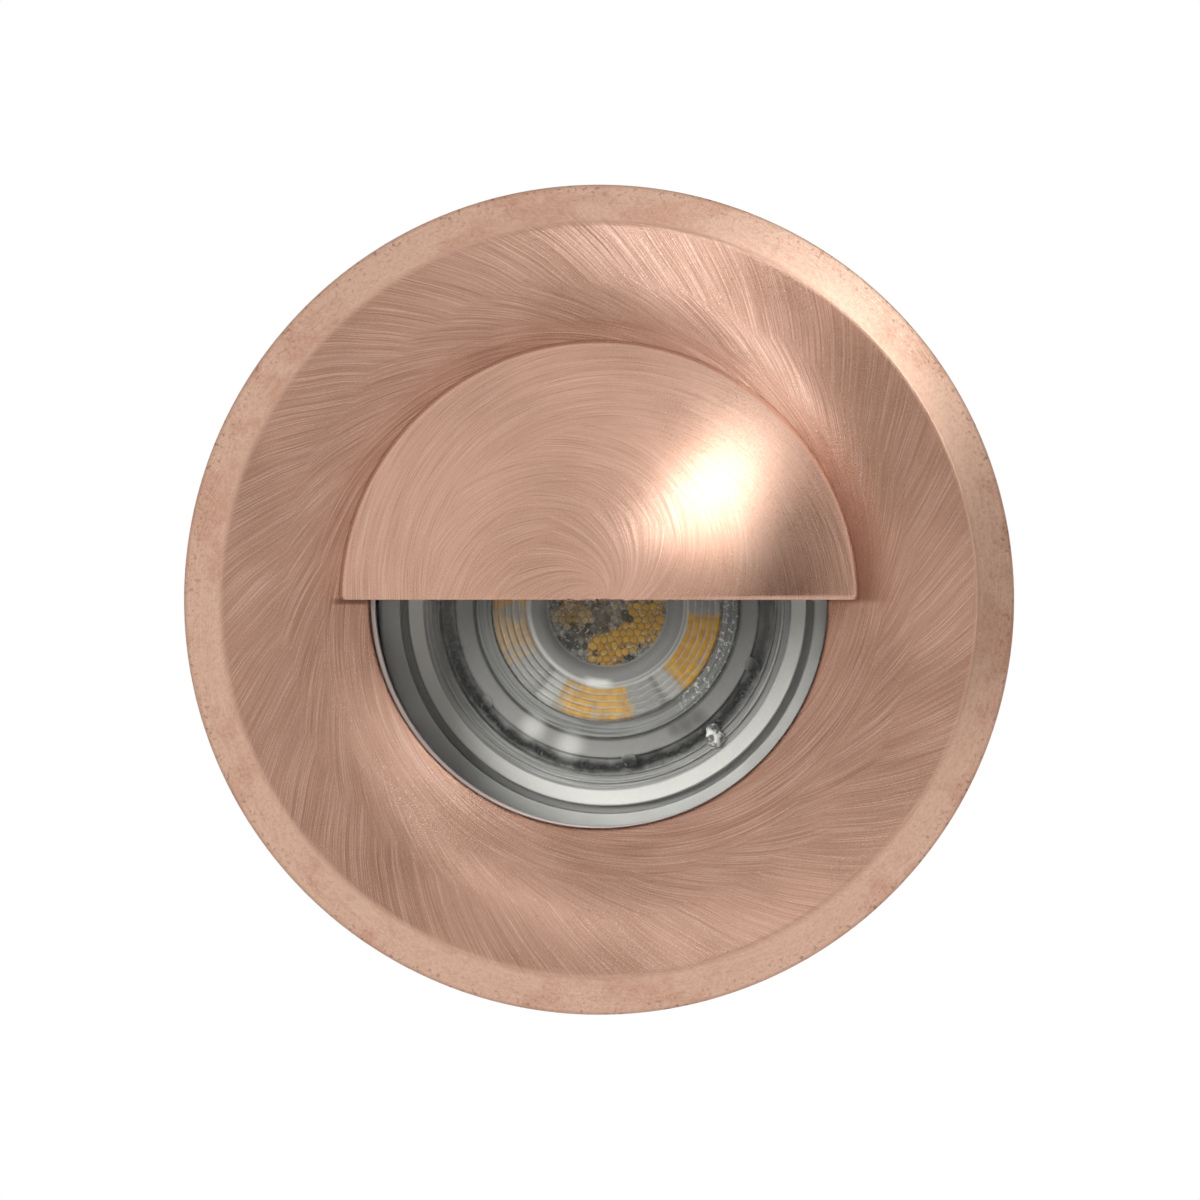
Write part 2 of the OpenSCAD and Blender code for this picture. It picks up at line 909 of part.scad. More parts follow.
module gland_nut() {
    hex_end = nut_y + nut_hex_t;
    color("#2f3133")
        difference() {
            union() {
                hex_rod(nut_y, nut_hex_t, gland_hex_r);
                rod(hex_end, nut_dome_t, gland_flats / 2, nut_dome_r);
            }
            rod(nut_y - over, nut_hex_t + over, gland_stub_r + thread_gap);
            rod(nut_y, nut_hex_t + nut_dome_t + over, nut_mouth_r);
        }
}

// Puts a child that is drawn round the pin, pointing forwards, at the right or left wing
module at_wing(side, angle) {
    scale([side, 1, 1])
        translate([wing_pin_x, wing_y, 0])
            rotate([0, 0, angle])
                children();
}

module pin_hole() {
    translate([0, 0, -bracket_w / 2 - over])
        cylinder(h = bracket_w + 2 * over, r = wing_pin_d / 2 + pin_run);
}

module wing_bracket(side) {
    ear_z = wing_w / 2 + ear_gap;
    color(steel)
        difference() {
            union() {
                scale([side, 1, 1])
                    translate([flat_x, wing_y - bracket_front, -bracket_w / 2])
                        cube([strip_t, bracket_front + bracket_rear, bracket_w]);
                at_wing(side, 0)
                    for (end = [-1, 1])
                        scale([1, 1, end])
                            translate([0, 0, ear_z]) {
                                cylinder(h = ear_t, r = ear_r);
                                translate([-pin_rise - strip_t, -ear_r, 0])
                                    cube([pin_rise + strip_t, 2 * ear_r, ear_t]);
                            }
            }
            at_wing(side, 0)
                pin_hole();
            scale([side, 1, 1])
                at_wing_screws()
                    translate([0, 0, -strip_t - over])
                        cylinder(h = strip_t + 2 * over, r = wing_screw_r + fit);
        }
}

module wing_screws(side) {
    color(steel)
        scale([side, 1, 1])
            at_wing_screws() {
                translate([0, 0, -strip_t])
                    cylinder(h = strip_t + wing_screw_l, r = wing_screw_r);
                translate([0, 0, -strip_t - wing_head_h])
                    cylinder(h = wing_head_h, r1 = wing_head_r - edge_break, r2 = wing_head_r);
            }
}

module wing_pin(side) {
    half_l = wing_w / 2 + ear_gap + ear_t + fit;
    color(steel)
        at_wing(side, 0) {
            translate([0, 0, -half_l])
                cylinder(h = 2 * half_l, r = wing_pin_d / 2);
            for (end = [-1, 1])
                scale([1, 1, end])
                    translate([0, 0, half_l])
                        cylinder(h = pin_head_t, r = pin_head_r);
        }
}

module wing_arm(side) {
    color(steel)
        at_wing(side, wing_rest_angle)
            difference() {
                union() {
                    for (end = [-1, 1])
                        scale([1, 1, end])
                            translate([0, 0, wing_w / 2 - strip_t]) {
                                cylinder(h = strip_t, r = cheek_r);
                                translate([-cheek_drop, -cheek_l, 0])
                                    cube([cheek_drop + web_rise + strip_t, cheek_l, strip_t]);
                            }
                    translate([web_rise, -wing_l + sleeve_wall, -wing_w / 2])
                        cube([strip_t, wing_l - sleeve_wall - web_start, wing_w]);
                }
                pin_hole();
            }
}

module wing_sleeve(side) {
    sleeve_t = strip_t + 2 * sleeve_wall;
    sleeve_w = wing_w + 2 * sleeve_wall;
    color(rubber)
        at_wing(side, wing_rest_angle)
            difference() {
                union() {
                    translate([web_rise - sleeve_wall, -wing_l, -sleeve_w / 2])
                        cube([sleeve_t, sleeve_l, sleeve_w]);
                    translate([web_rise + strip_t / 2, -wing_l, -sleeve_w / 2])
                        cylinder(h = sleeve_w, r = sleeve_t / 2);
                }
                translate([web_rise - fit, -wing_l + sleeve_wall - fit, -wing_w / 2 - fit])
                    cube([strip_t + 2 * fit, sleeve_l + over, wing_w + 2 * fit]);
            }
}

// Route of the spring wire about the pin: a leg on the bracket, the coil, then a leg under the wing
function spring_route() = let (
    half_turns = 2 * spring_turns + 1,
    steps = half_turns * spring_steps / 2,
    wire_r = spring_wire_d / 2,
    base_x = -pin_rise + wire_r + leg_seat,
    web_x = web_rise - wire_r - leg_seat,
    tip_turn = wing_rest_angle,
    leg_a = [for (s = [leg_drop_l, leg_a_l]) turned_by([web_x, -s, coil_half_l], tip_turn)]
) concat(
    [[base_x, -leg_b_l, -coil_half_l]],
    [for (i = [0:steps]) let (share = i / steps, a = 180 - share * (half_turns * 180 - tip_turn))
        [coil_r * cos(a), coil_r * sin(a), coil_half_l * (2 * share - 1)]],
    leg_a
);

function turned_by(p, a) = [p[0] * cos(a) - p[1] * sin(a), p[0] * sin(a) + p[1] * cos(a), p[2]];
function unit(v) = v / norm(v);

// One ring of points square to the wire at point i of its route
function wire_ring(route, i) = let (
    last = len(route) - 1,
    along = unit(route[min(i + 1, last)] - route[max(i - 1, 0)]),
    across = unit(cross(along, [0, 0, 1])),
    upward = cross(across, along)
) [for (k = [0:spring_sides - 1]) let (a = 360 * k / spring_sides)
    route[i] + spring_wire_d / 2 * (cos(a) * across + sin(a) * upward)];

module wire(route) {
    n = len(route);
    m = spring_sides;
    points = [for (i = [0:n - 1], p = wire_ring(route, i)) p];
    sides = [for (i = [0:n - 2], k = [0:m - 1]) let (a = i * m + k, b = i * m + (k + 1) % m)
        each [[a, a + m, b + m], [a, b + m, b]]];
    first = [for (k = [1:m - 2]) [0, k, k + 1]];
    end = [for (k = [1:m - 2]) [(n - 1) * m, (n - 1) * m + k + 1, (n - 1) * m + k]];
    polyhedron(points = points, faces = concat(sides, first, end));
}

// Least gap from the wire to itself, between points of its route that lie half a turn or more apart
function wire_gap(route) = min([for (i = [0:len(route) - 1], j = [i + spring_steps / 2:len(route) - 1])
    norm(route[i] - route[j])]) - spring_wire_d;

module wing_spring(side) {
    route = spring_route();
    echo(spring_least_gap = wire_gap(route));
    color(steel)
        at_wing(side, 0)
            wire(route);
}

face_plate();
eyelid_hood();
glass_ring();
front_glass();
glass_gasket();
face_oring();
barrel();
wall_gasket();
rear_cap();
cap_seal();
cap_screws();
lamp_bezel();
lamp_lens();
lamp_body();
led_board();
led_chips();
lamp_base();
lamp_pins();
lamp_holder();
holder_contacts();
holder_bracket();
holder_screws();
bracket_screws();
terminal_block();
terminal_screws();
holder_leads();
gland_body();
gland_washer();
gland_locknut();
gland_seal();
gland_nut();
wing_bracket(1);  // wing_bracket_right
wing_screws(1);  // wing_screws_right
wing_pin(1);  // wing_pin_right
wing_spring(1);  // wing_spring_right
wing_arm(1);  // wing_arm_right
wing_sleeve(1);  // wing_sleeve_right
wing_bracket(-1);  // wing_bracket_left
wing_screws(-1);  // wing_screws_left
wing_pin(-1);  // wing_pin_left
wing_spring(-1);  // wing_spring_left
wing_arm(-1);  // wing_arm_left
wing_sleeve(-1);  // wing_sleeve_left
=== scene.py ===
import logging
import math
from dataclasses import dataclass, field
from enum import Enum
from typing import Callable, Iterable, Optional, Sequence, Union

import bpy
from mathutils import Matrix, Vector


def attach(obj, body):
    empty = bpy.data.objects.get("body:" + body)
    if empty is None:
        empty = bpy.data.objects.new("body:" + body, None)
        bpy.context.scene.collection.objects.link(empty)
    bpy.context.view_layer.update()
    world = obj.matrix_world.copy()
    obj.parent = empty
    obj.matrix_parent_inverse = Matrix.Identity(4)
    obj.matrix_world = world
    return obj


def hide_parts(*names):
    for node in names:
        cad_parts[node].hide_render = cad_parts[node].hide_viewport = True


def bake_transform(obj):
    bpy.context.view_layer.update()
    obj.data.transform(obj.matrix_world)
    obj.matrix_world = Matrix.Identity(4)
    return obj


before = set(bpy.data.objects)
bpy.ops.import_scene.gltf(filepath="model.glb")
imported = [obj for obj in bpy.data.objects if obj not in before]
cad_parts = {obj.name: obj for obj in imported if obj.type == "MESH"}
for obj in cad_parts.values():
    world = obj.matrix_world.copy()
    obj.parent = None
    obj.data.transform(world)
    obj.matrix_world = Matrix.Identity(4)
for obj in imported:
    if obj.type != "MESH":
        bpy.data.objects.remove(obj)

logging.basicConfig(level=logging.INFO, format="%(message)s")
log = logging.getLogger("step_light")

MM = 0.001
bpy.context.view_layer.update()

Point = tuple[float, float]
Triple = tuple[float, float, float]
Spot = Triple
Colour = Triple
Value = Union["Wire", float, int, tuple]


def arc(cx: float, cy: float, radius: float, start: float, end: float, count: int) -> list[Point]:
    """Points on an arc.

    Args:
        cx: Centre along the radius, in mm.
        cy: Centre along the depth, in mm.
        radius: Radius of the arc, in mm.
        start: First angle, in degrees.
        end: Last angle, in degrees.
        count: Number of steps.

    Returns:
        The points from the first angle to the last.
    """
    angles = (math.radians(start + (end - start) * i / count) for i in range(count + 1))
    return [(cx + radius * math.cos(a), cy + radius * math.sin(a)) for a in angles]


def fillet(before: Point, corner: Point, after: Point, radius: float, count: int) -> list[Point]:
    """Points that round a corner of an outline.

    Args:
        before: The outline's point before the corner.
        corner: The corner.
        after: The point after the corner.
        radius: Radius of the rounding, in mm.
        count: Number of steps.

    Returns:
        The points that take the corner's place.
    """
    p, c, q = Vector(before), Vector(corner), Vector(after)
    u, v = (p - c).normalized(), (q - c).normalized()
    half = u.angle(v) / 2
    reach = radius / math.tan(half)
    middle = c + (u + v).normalized() * (radius / math.sin(half))
    first, last = c + u * reach - middle, c + v * reach - middle
    ways = (first.lerp(last, i / count).normalized() * radius for i in range(count + 1))
    return [tuple(middle + way) for way in ways]


class Wire:
    """A shader socket on which Python's operators build Math nodes."""

    def __init__(self, graph: "Graph", socket: bpy.types.NodeSocket) -> None:
        """Keeps the graph and the socket."""
        self.graph = graph
        self.socket = socket

    def __add__(self, other: Value) -> "Wire":
        """self + other."""
        return self.graph.math("ADD", self, other)

    def __radd__(self, other: Value) -> "Wire":
        """other + self."""
        return self.graph.math("ADD", other, self)

    def __sub__(self, other: Value) -> "Wire":
        """self - other."""
        return self.graph.math("SUBTRACT", self, other)

    def __rsub__(self, other: Value) -> "Wire":
        """other - self."""
        return self.graph.math("SUBTRACT", other, self)

    def __mul__(self, other: Value) -> "Wire":
        """self * other."""
        return self.graph.math("MULTIPLY", self, other)

    def __truediv__(self, other: Value) -> "Wire":
        """self / other."""
        return self.graph.math("DIVIDE", self, other)

    def __mod__(self, other: Value) -> "Wire":
        """self % other, never negative."""
        return self.graph.math("FLOORED_MODULO", self, other)

    def clamp(self) -> "Wire":
        """self kept between 0 and 1."""
        return self.graph.math("ADD", self, 0.0, clamp=True)

    def step(self, low: float, high: float) -> "Wire":
        """0 below low, 1 above high and smooth between them."""
        settings = {"interpolation_type": "SMOOTHSTEP"}
        inputs = {"Value": self, "From Min": low, "From Max": high, "To Min": 0.0, "To Max": 1.0}
        return self.graph.node("ShaderNodeMapRange", settings, inputs).out("Result")

    def band(self, low: float, high: float, soft: float) -> "Wire":
        """1 between low and high, 0 outside them."""
        return self.step(low - soft, low + soft) * (1.0 - self.step(high - soft, high + soft))


class Made:
    """A node that was just made, from which outputs are taken."""

    def __init__(self, graph: "Graph", node: bpy.types.Node) -> None:
        """Keeps the graph and the node."""
        self.graph = graph
        self.node = node

    def out(self, name: Union[str, int]) -> Wire:
        """The output of that name or place."""
        return Wire(self.graph, self.node.outputs[name])


class Graph:
    """A material's node tree."""

    def __init__(self, name: str, tree: Optional[bpy.types.NodeTree] = None) -> None:
        """Empties a node tree, or makes a material of that name.

        Args:
            name: The material's name.
            tree: The node tree, where it isn't a new material's.
        """
        if tree is None:
            self.material = bpy.data.materials.new(name)
            self.material.use_nodes = True
            tree = self.material.node_tree
        self.tree = tree
        self.tree.nodes.clear()

    def node(self, kind: str, settings: dict, inputs: dict) -> Made:
        """Makes any node.

        Args:
            kind: The node's type.
            settings: The node's own properties, set first.
            inputs: Values or wires of its sockets, by name or place.

        Returns:
            The node.
        """
        made = self.tree.nodes.new(kind)
        for key, value in settings.items():
            setattr(made, key, value)
        for key, value in inputs.items():
            self.feed(made.inputs[key], value)
        return Made(self, made)

    def feed(self, socket: bpy.types.NodeSocket, value: Value) -> None:
        """Links a wire to a socket, or sets the socket's own value.

        Args:
            socket: The socket.
            value: The wire, number, vector or colour.
        """
        if isinstance(value, Wire):
            self.tree.links.new(value.socket, socket)
        elif isinstance(value, tuple) and len(value) == 3 and socket.type == "RGBA":
            socket.default_value = (*value, 1.0)
        else:
            socket.default_value = value

    def math(self, operation: str, a: Value, b: Value = 0.0, clamp: bool = False) -> Wire:
        """A Math node on one or two values."""
        settings = {"operation": operation, "use_clamp": clamp}
        return self.node("ShaderNodeMath", settings, {0: a, 1: b}).out(0)

    def across(self, operation: str, a: Value, b: Value = (0.0, 0.0, 0.0)) -> Wire:
        """A Vector Math node.

        Args:
            operation: What the node works out.
            a: The first vector.
            b: The second vector, or the factor of a scale, which has a socket of its own.

        Returns:
            The vector, or the value of a dot product.
        """
        inputs = {0: a, 3: b} if operation == "SCALE" else {0: a, 1: b}
        made = self.node("ShaderNodeVectorMath", {"operation": operation}, inputs)
        return made.out("Value" if operation == "DOT_PRODUCT" else "Vector")

    def mix(self, factor: Value, a: Value, b: Value, blend: str = "MIX") -> Wire:
        """A colour between a and b."""
        settings = {"data_type": "RGBA", "blend_type": blend, "clamp_factor": True}
        return self.node("ShaderNodeMix", settings, {0: factor, 6: a, 7: b}).out(2)

    def vector(self, x: Value, y: Value, z: Value) -> Wire:
        """A vector of three values."""
        return self.node("ShaderNodeCombineXYZ", {}, {0: x, 1: y, 2: z}).out(0)

    def place(self) -> tuple[Wire, Wire, Wire]:
        """The place on the object.

        Returns:
            Its three coordinates, in mm.
        """
        where = self.node("ShaderNodeTexCoord", {}, {}).out("Object")
        split = self.node("ShaderNodeSeparateXYZ", {}, {0: where})
        return split.out(0) / MM, split.out(1) / MM, split.out(2) / MM

    def reach(self, u: Wire, v: Wire) -> Wire:
        """Distance from the origin of a plane."""
        return self.math("SQRT", u * u + v * v)

    def noise(self, vector: Value, scale: float, detail: float = 2.0, rough: float = 0.5,
              w: Optional[Value] = None) -> Wire:
        """Perlin noise in three dimensions, or in four.

        Args:
            vector: Where the noise is read.
            scale: How many swells lie along one unit.
            detail: How many finer layers are added.
            rough: How strong the finer layers are.
            w: The fourth coordinate, where there is one.

        Returns:
            The noise, from 0 to 1.
        """
        settings = {"noise_dimensions": "3D" if w is None else "4D"}
        inputs = {"Vector": vector, "Scale": scale, "Detail": detail, "Roughness": rough}
        if w is not None:
            inputs["W"] = w
        return self.node("ShaderNodeTexNoise", settings, inputs).out(0)

    def ramp(self, factor: Value, stops: Sequence[tuple[float, Colour]]) -> Wire:
        """A colour ramp, straight between its stops.

        Args:
            factor: What the ramp reads, from 0 to 1.
            stops: Places and colours.

        Returns:
            The colour.
        """
        made = self.node("ShaderNodeValToRGB", {}, {0: factor})
        ramp = made.node.color_ramp
        ramp.interpolation = "LINEAR"
        while len(ramp.elements) < len(stops):
            ramp.elements.new(0.5)
        for element, stop in zip(ramp.elements, stops):
            element.position = stop[0]
        for element, stop in zip(ramp.elements, stops):
            element.color = (*stop[1], 1.0)
        return made.out(0)

    def spots(self, u: Wire, v: Wire, places: Sequence[Spot]) -> Wire:
        """Soft round spots.

        Args:
            u: First coordinate, in mm.
            v: Second coordinate, in mm.
            places: Each spot's centre and radius, in mm.

        Returns:
            1 in a spot's middle and 0 outside it.
        """
        total: Value = 0.0
        for cu, cv, radius in places:
            away = self.reach(u - cu, v - cv)
            total = self.math("MAXIMUM", total, 1.0 - away.step(radius * 0.1, radius * 1.1))
        return total

    def hexagons(self, u: Wire, v: Wire, pitch: float) -> tuple[Wire, Wire]:
        """Cells of a honeycomb.

        Args:
            u: First coordinate, in mm.
            v: Second coordinate, in mm.
            pitch: Distance between cells, in mm.

        Returns:
            0 in a cell's middle and 1 at its edge, and a value of the cell's own.
        """
        tall = pitch * math.sqrt(3.0)
        au, av = u % pitch - pitch / 2, v % tall - tall / 2
        bu, bv = (u + pitch / 2) % pitch - pitch / 2, (v + tall / 2) % tall - tall / 2
        nearer = self.math("GREATER_THAN", au * au + av * av, bu * bu + bv * bv)
        du, dv = au + (bu - au) * nearer, av + (bv - av) * nearer
        side = self.math("ABSOLUTE", du)
        slant = side * 0.5 + self.math("ABSOLUTE", dv) * (math.sqrt(3.0) / 2)
        edge = self.math("MAXIMUM", side, slant) / (pitch / 2)
        own = self.noise(self.vector(u - du, v - dv, 0.0), 1.7, 1.0, 0.5)
        return edge, own

    def bump(self, height: Wire, distance: float, normal: Optional[Wire] = None) -> Wire:
        """A normal bent by a height.

        Args:
            height: The height, from 0 to 1.
            distance: How far the height's full range reaches, in metres.
            normal: The normal that is bent, where it isn't the surface's own.

        Returns:
            The normal.
        """
        inputs = {"Height": height, "Distance": distance, "Strength": 1.0}
        if normal is not None:
            inputs["Normal"] = normal
        return self.node("ShaderNodeBump", {}, inputs).out(0)

    def principled(self, inputs: dict) -> Wire:
        """A Principled shader."""
        return self.node("ShaderNodeBsdfPrincipled", {}, inputs).out(0)

    def cover(self, share: Value, under: Wire, over: Wire) -> Wire:
        """One shader laid over another, where share is 1."""
        return self.node("ShaderNodeMixShader", {}, {0: share, 1: under, 2: over}).out(0)

    def glow(self, strength: float) -> Wire:
        """White light of that strength."""
        white = {"Color": (1.0, 1.0, 1.0), "Strength": strength}
        return self.node("ShaderNodeEmission", {}, white).out(0)

    def finish(self, shader: Wire) -> bpy.types.Material:
        """Links the shader to the output and gives the material."""
        self.node("ShaderNodeOutputMaterial", {}, {"Surface": shader})
        return self.material


class Part(Enum):
    """Which copper part a finish is for."""

    FACE = "face"
    HOOD = "hood"


@dataclass(frozen=True)
class Swathe:
    """A ring of brush strokes that lean by one angle.

    Attributes:
        lean: Angle between the strokes and the ring, in degrees.
        inner: Radius at which the ring begins, in mm.
        outer: Radius at which it ends, in mm.
    """

    lean: float
    inner: float
    outer: float

    def strokes(self, g: Graph, radius: Wire, angle: Wire, width: float, length: float) -> Wire:
        """Noise drawn out along the strokes.

        Args:
            g: The graph.
            radius: Distance from the axis, in mm.
            angle: Angle about the axis.
            width: Width of a stroke, in mm.
            length: Length of a stroke, in mm.

        Returns:
            The noise, from 0 to 1.
        """
        lean = math.radians(self.lean)
        middle = (self.inner + self.outer) / 2
        turn = angle - g.math("LOGARITHM", radius, math.e) / math.tan(lean)
        count, breaks = abs(middle * math.sin(lean)) / width, middle / length
        where = g.vector(g.math("COSINE", turn) * count, g.math("SINE", turn) * count,
                         g.math("COSINE", angle) * breaks)
        return g.noise(where, 1.0, 1.5, 0.55, g.math("SINE", angle) * breaks + self.outer)


@dataclass(frozen=True)
class BrushedCopper:
    """Solid copper, brushed by hand on a wheel and left bare.

    Attributes:
        name: The material's name.
        part: The part that it is for.
        leans: Radii in mm, and the strokes' angle to the ring there, in degrees.
        swathes: The rings of strokes that can be seen.
        spread: Slope of the finest scratches, across the strokes.
        weights: Weights of the three random draws that are added to give a scratch's slope.
        streaks: How much the strokes that can be seen change the shine.
        tips: Slope of the strokes that can be seen.
        width: Width of a stroke, in mm.
        length: Length of a stroke, in mm.
        waver: How far the strokes stray from their ring's angle, in radians.
        swathe_soft: Half the width over which one swathe gives way to the next, in mm.
        swathe_stray: How far the edge between two swathes wanders, in mm.
        dark: The metal where it is dull.
        mid: The metal.
        light: A stroke that shines.
        bevel: The rim's metal.
        dirt_and_shade: Dirt in a scratch or a seam, and the painted shadow in the corner under the
            hood's left end.
        blush: Warm tone of the opening's lip.
        ruddy: Warm patches on the rim.
        painted_hood_shade_tone: Painted shade on the face beside the hood's right side, a dark reddish
            tone where the hood's shadow and dark reflection fall.
        painted_edge_sheen: Paler tone painted on the hood's turned edge as a painted sheen.
        valley: Tone of a scratch's floor, as a multiple of the metal's.
        flank: Tone of its steep flanks.
        flank_share: How much of the flank's tone shows.
        turn_r: Radius at which the hood turns down, in mm.
        calm_r: Radii between which the scratches grow to their full slope, in mm.
        gloss: Roughness.
        grain_depth: Depth of the grain, in metres.
        crease_r: Radius of the crease before the rim, in mm.
        rim_r: Radius of the face, in mm.
        lip_r: Radius of the opening's lip, in mm.
        lip_y: Depth of the lip's front, in mm.
        hood_r: Radius of the seam round the hood, in mm.
        painted_hood_shade_r: Width of the painted shade beside the hood, in mm.
        painted_hood_shade_x: Where the painted shade beside the hood begins and where it is full, along
            X in mm.
        corner_shadow_x: Where the painted shadow in the corner under the hood's left end stops, along X
            in mm.
        corner_shadow_r: Width of that painted shadow beyond the hood, in mm.
        full_turn: Range of the leans, in degrees.
        least_lean: The least lean, in degrees.
    """

    name: str
    part: Part
    leans: tuple[Point, ...]
    swathes: tuple[Swathe, ...]
    spread: float = 0.2
    weights: Triple = (1.0, 1.0, 1.0)
    streaks: float = 0.7
    tips: float = 0.42
    width: float = 0.085
    length: float = 7.0
    waver: float = 0.03
    swathe_soft: float = 1.4
    swathe_stray: float = 4.0
    dark: Colour = (0.385, 0.218, 0.157)
    mid: Colour = (0.46, 0.268, 0.197)
    light: Colour = (0.64, 0.42, 0.33)
    bevel: Colour = (0.69, 0.46, 0.352)
    dirt_and_shade: Colour = (0.15, 0.078, 0.055)
    blush: Colour = (0.42, 0.21, 0.15)
    ruddy: Colour = (0.52, 0.285, 0.20)
    painted_hood_shade_tone: Colour = (0.24, 0.11, 0.075)
    painted_edge_sheen: Colour = (0.90, 0.60, 0.48)
    valley: Colour = (0.86, 0.74, 0.66)
    flank: Colour = (1.57, 1.93, 2.14)
    flank_share: float = 0.72
    turn_r: float = 27.0
    calm_r: Point = (0.0, 1.0)
    gloss: float = 0.29
    grain_depth: float = 0.000012
    crease_r: float = 40.9
    rim_r: float = 45.0
    lip_r: float = 25.3
    lip_y: float = -5.4
    hood_r: float = 28.0
    painted_hood_shade_r: float = 4.5
    painted_hood_shade_x: Point = (15.0, 26.0)
    corner_shadow_x: Point = (-25.5, -24.5)
    corner_shadow_r: float = 1.4
    full_turn: float = 120.0
    least_lean: float = -30.0

    def build(self) -> bpy.types.Material:
        """The material.

        Returns:
            The material.
        """
        g = Graph(self.name)
        x, y, z = g.place()
        where, radius = g.vector(x, y, z), g.reach(x, z)
        face = self.part is Part.FACE
        rim = radius.step(self.crease_r - 0.5, self.crease_r + 0.5) if face else radius * 0.0
        strokes = self.brushed(g, where, radius, g.math("ARCTAN2", z, x))
        cloud = g.noise(where, 0.09, 2.0)
        grain = g.noise(where, 7.0, 2.0, 0.65)
        normal, steep = self.tipped(g, radius, where, strokes, rim)
        normal = g.bump(grain, self.grain_depth, normal)
        tone = g.mix(cloud.step(0.3, 0.7), self.dark, self.mid)
        tone = g.mix(strokes.step(0.5, 0.7) * (0.5 - rim * 0.38), tone, self.light)
        tone = g.mix(strokes.step(0.48, 0.28) * (0.34 - rim * 0.2), tone, self.dirt_and_shade)
        tone = g.mix(grain.step(0.42, 0.66) * 0.16, tone, self.dark)
        tone = self.weathered(g, tone, where, rim)
        shine = 1.0 + (strokes.step(0.36, 0.64) - 0.5) * self.streaks * (1.0 - rim * 0.5)
        cut = g.mix(steep * shine * self.flank_share, self.valley, self.flank)
        tone = g.mix(1.0, tone, cut, "MULTIPLY")
        if face:
            tone = self.marks_and_painted_shade(g, tone, where, radius, cloud)
        else:
            # Painted sheen: the hood's turned edge is made paler.
            tone = g.mix(radius.step(self.turn_r, self.turn_r + 0.8) * 0.5, tone, self.painted_edge_sheen)
            tone = g.mix(y.step(self.lip_y - 0.2, self.lip_y - 0.04) * 0.45, tone, self.dirt_and_shade)
        rough = self.gloss + (grain - 0.5) * 0.16 + rim * 0.14 + (cloud - 0.5) * 0.08
        return g.finish(g.principled({
            "Base Color": tone, "Metallic": 1.0, "Roughness": rough, "Normal": normal}))

    def brushed(self, g: Graph, where: Wire, radius: Wire, angle: Wire) -> Wire:
        """The strokes that can be seen, swathe by swathe.

        Args:
            g: The graph.
            where: The place on the object, in mm.
            radius: Distance from the axis, in mm.
            angle: Angle about the axis, in radians.

        Returns:
            The strokes, from 0 to 1.
        """
        angle = angle + (g.noise(where, 0.12, 1.0) - 0.5) * self.waver
        edge = radius + (g.noise(where, 0.3, 1.0) - 0.5) * self.swathe_stray
        strokes: Value = 0.5
        for swathe in self.swathes:
            weight = edge.band(swathe.inner, swathe.outer, self.swathe_soft)
            seen = swathe.strokes(g, radius, angle, self.width, self.length)
            strokes = strokes + (seen - 0.5) * weight
        return strokes

    def weathered(self, g: Graph, tone: Wire, where: Wire, rim: Wire) -> Wire:
        """Adds the rim's paler metal, with its warm patches.

        Args:
            g: The graph.
            tone: The tone so far.
            where: The place on the object, in mm.
            rim: 1 on the bevelled rim.

        Returns:
            The tone.
        """
        tone = g.mix(rim * 0.85, tone, self.bevel)
        mottle = g.noise(where, 2.6, 3.0, 0.7).step(0.44, 0.62)
        patch = g.noise(where, 0.14, 3.0, 0.65).step(0.48, 0.64) * 0.45 + mottle * 0.4
        return g.mix((patch * rim).clamp(), tone, self.ruddy)

    def marks_and_painted_shade(self, g: Graph, tone: Wire, where: Wire, radius: Wire, cloud: Wire) -> Wire:
        """Adds the marks of making and use on the face (lip tone, dirt and seam), and painted shade
        beside the hood's right side and in the corner under its left end.

        Args:
            g: The graph.
            tone: The tone so far.
            where: The place on the object, in mm.
            radius: Distance from the axis, in mm.
            cloud: Slow noise, which breaks the seam.

        Returns:
            The tone.
        """
        split = g.node("ShaderNodeSeparateXYZ", {}, {0: where})
        x, z = split.out(0), split.out(2)
        lip = 1.0 - radius.step(self.lip_r - 0.3, self.lip_r + 0.4)
        tone = g.mix(lip * 0.35, tone, self.blush)
        outer = radius.step(self.rim_r - 3.0, self.rim_r + 0.4)
        dirt = g.noise(where, 2.2, 1.0, 0.4).step(0.62, 0.7) * (0.14 + outer * 0.86)
        rubbed = radius.step(self.rim_r - 0.5, self.rim_r)
        tone = g.mix((rubbed * 0.35 + dirt * 0.5).clamp(), tone, self.dirt_and_shade)
        above = z.step(-0.6, 0.2)
        # Painted shade: the face beside the hood's right side is darkened where the hood's shadow and
        # dark reflection fall.
        painted_hood_shade = (1.0 - radius.step(self.hood_r, self.hood_r + self.painted_hood_shade_r)) * above
        tone = g.mix(painted_hood_shade * x.step(*self.painted_hood_shade_x) * 0.85, tone, self.painted_hood_shade_tone)
        # Painted shadow: a dark wedge on the face in the corner under the hood's left end.
        corner_shadow = z.band(-0.5, 0.1, 0.2) * (1.0 - x.step(*self.corner_shadow_x))
        corner_shadow = corner_shadow * (1.0 - radius.step(self.hood_r, self.hood_r + self.corner_shadow_r))
        tone = g.mix(corner_shadow * 0.8, tone, self.dirt_and_shade)
        seam = (1.0 - radius.step(self.hood_r + 0.04, self.hood_r + 0.16)) * above * cloud
        return g.mix(seam, tone, self.dirt_and_shade)

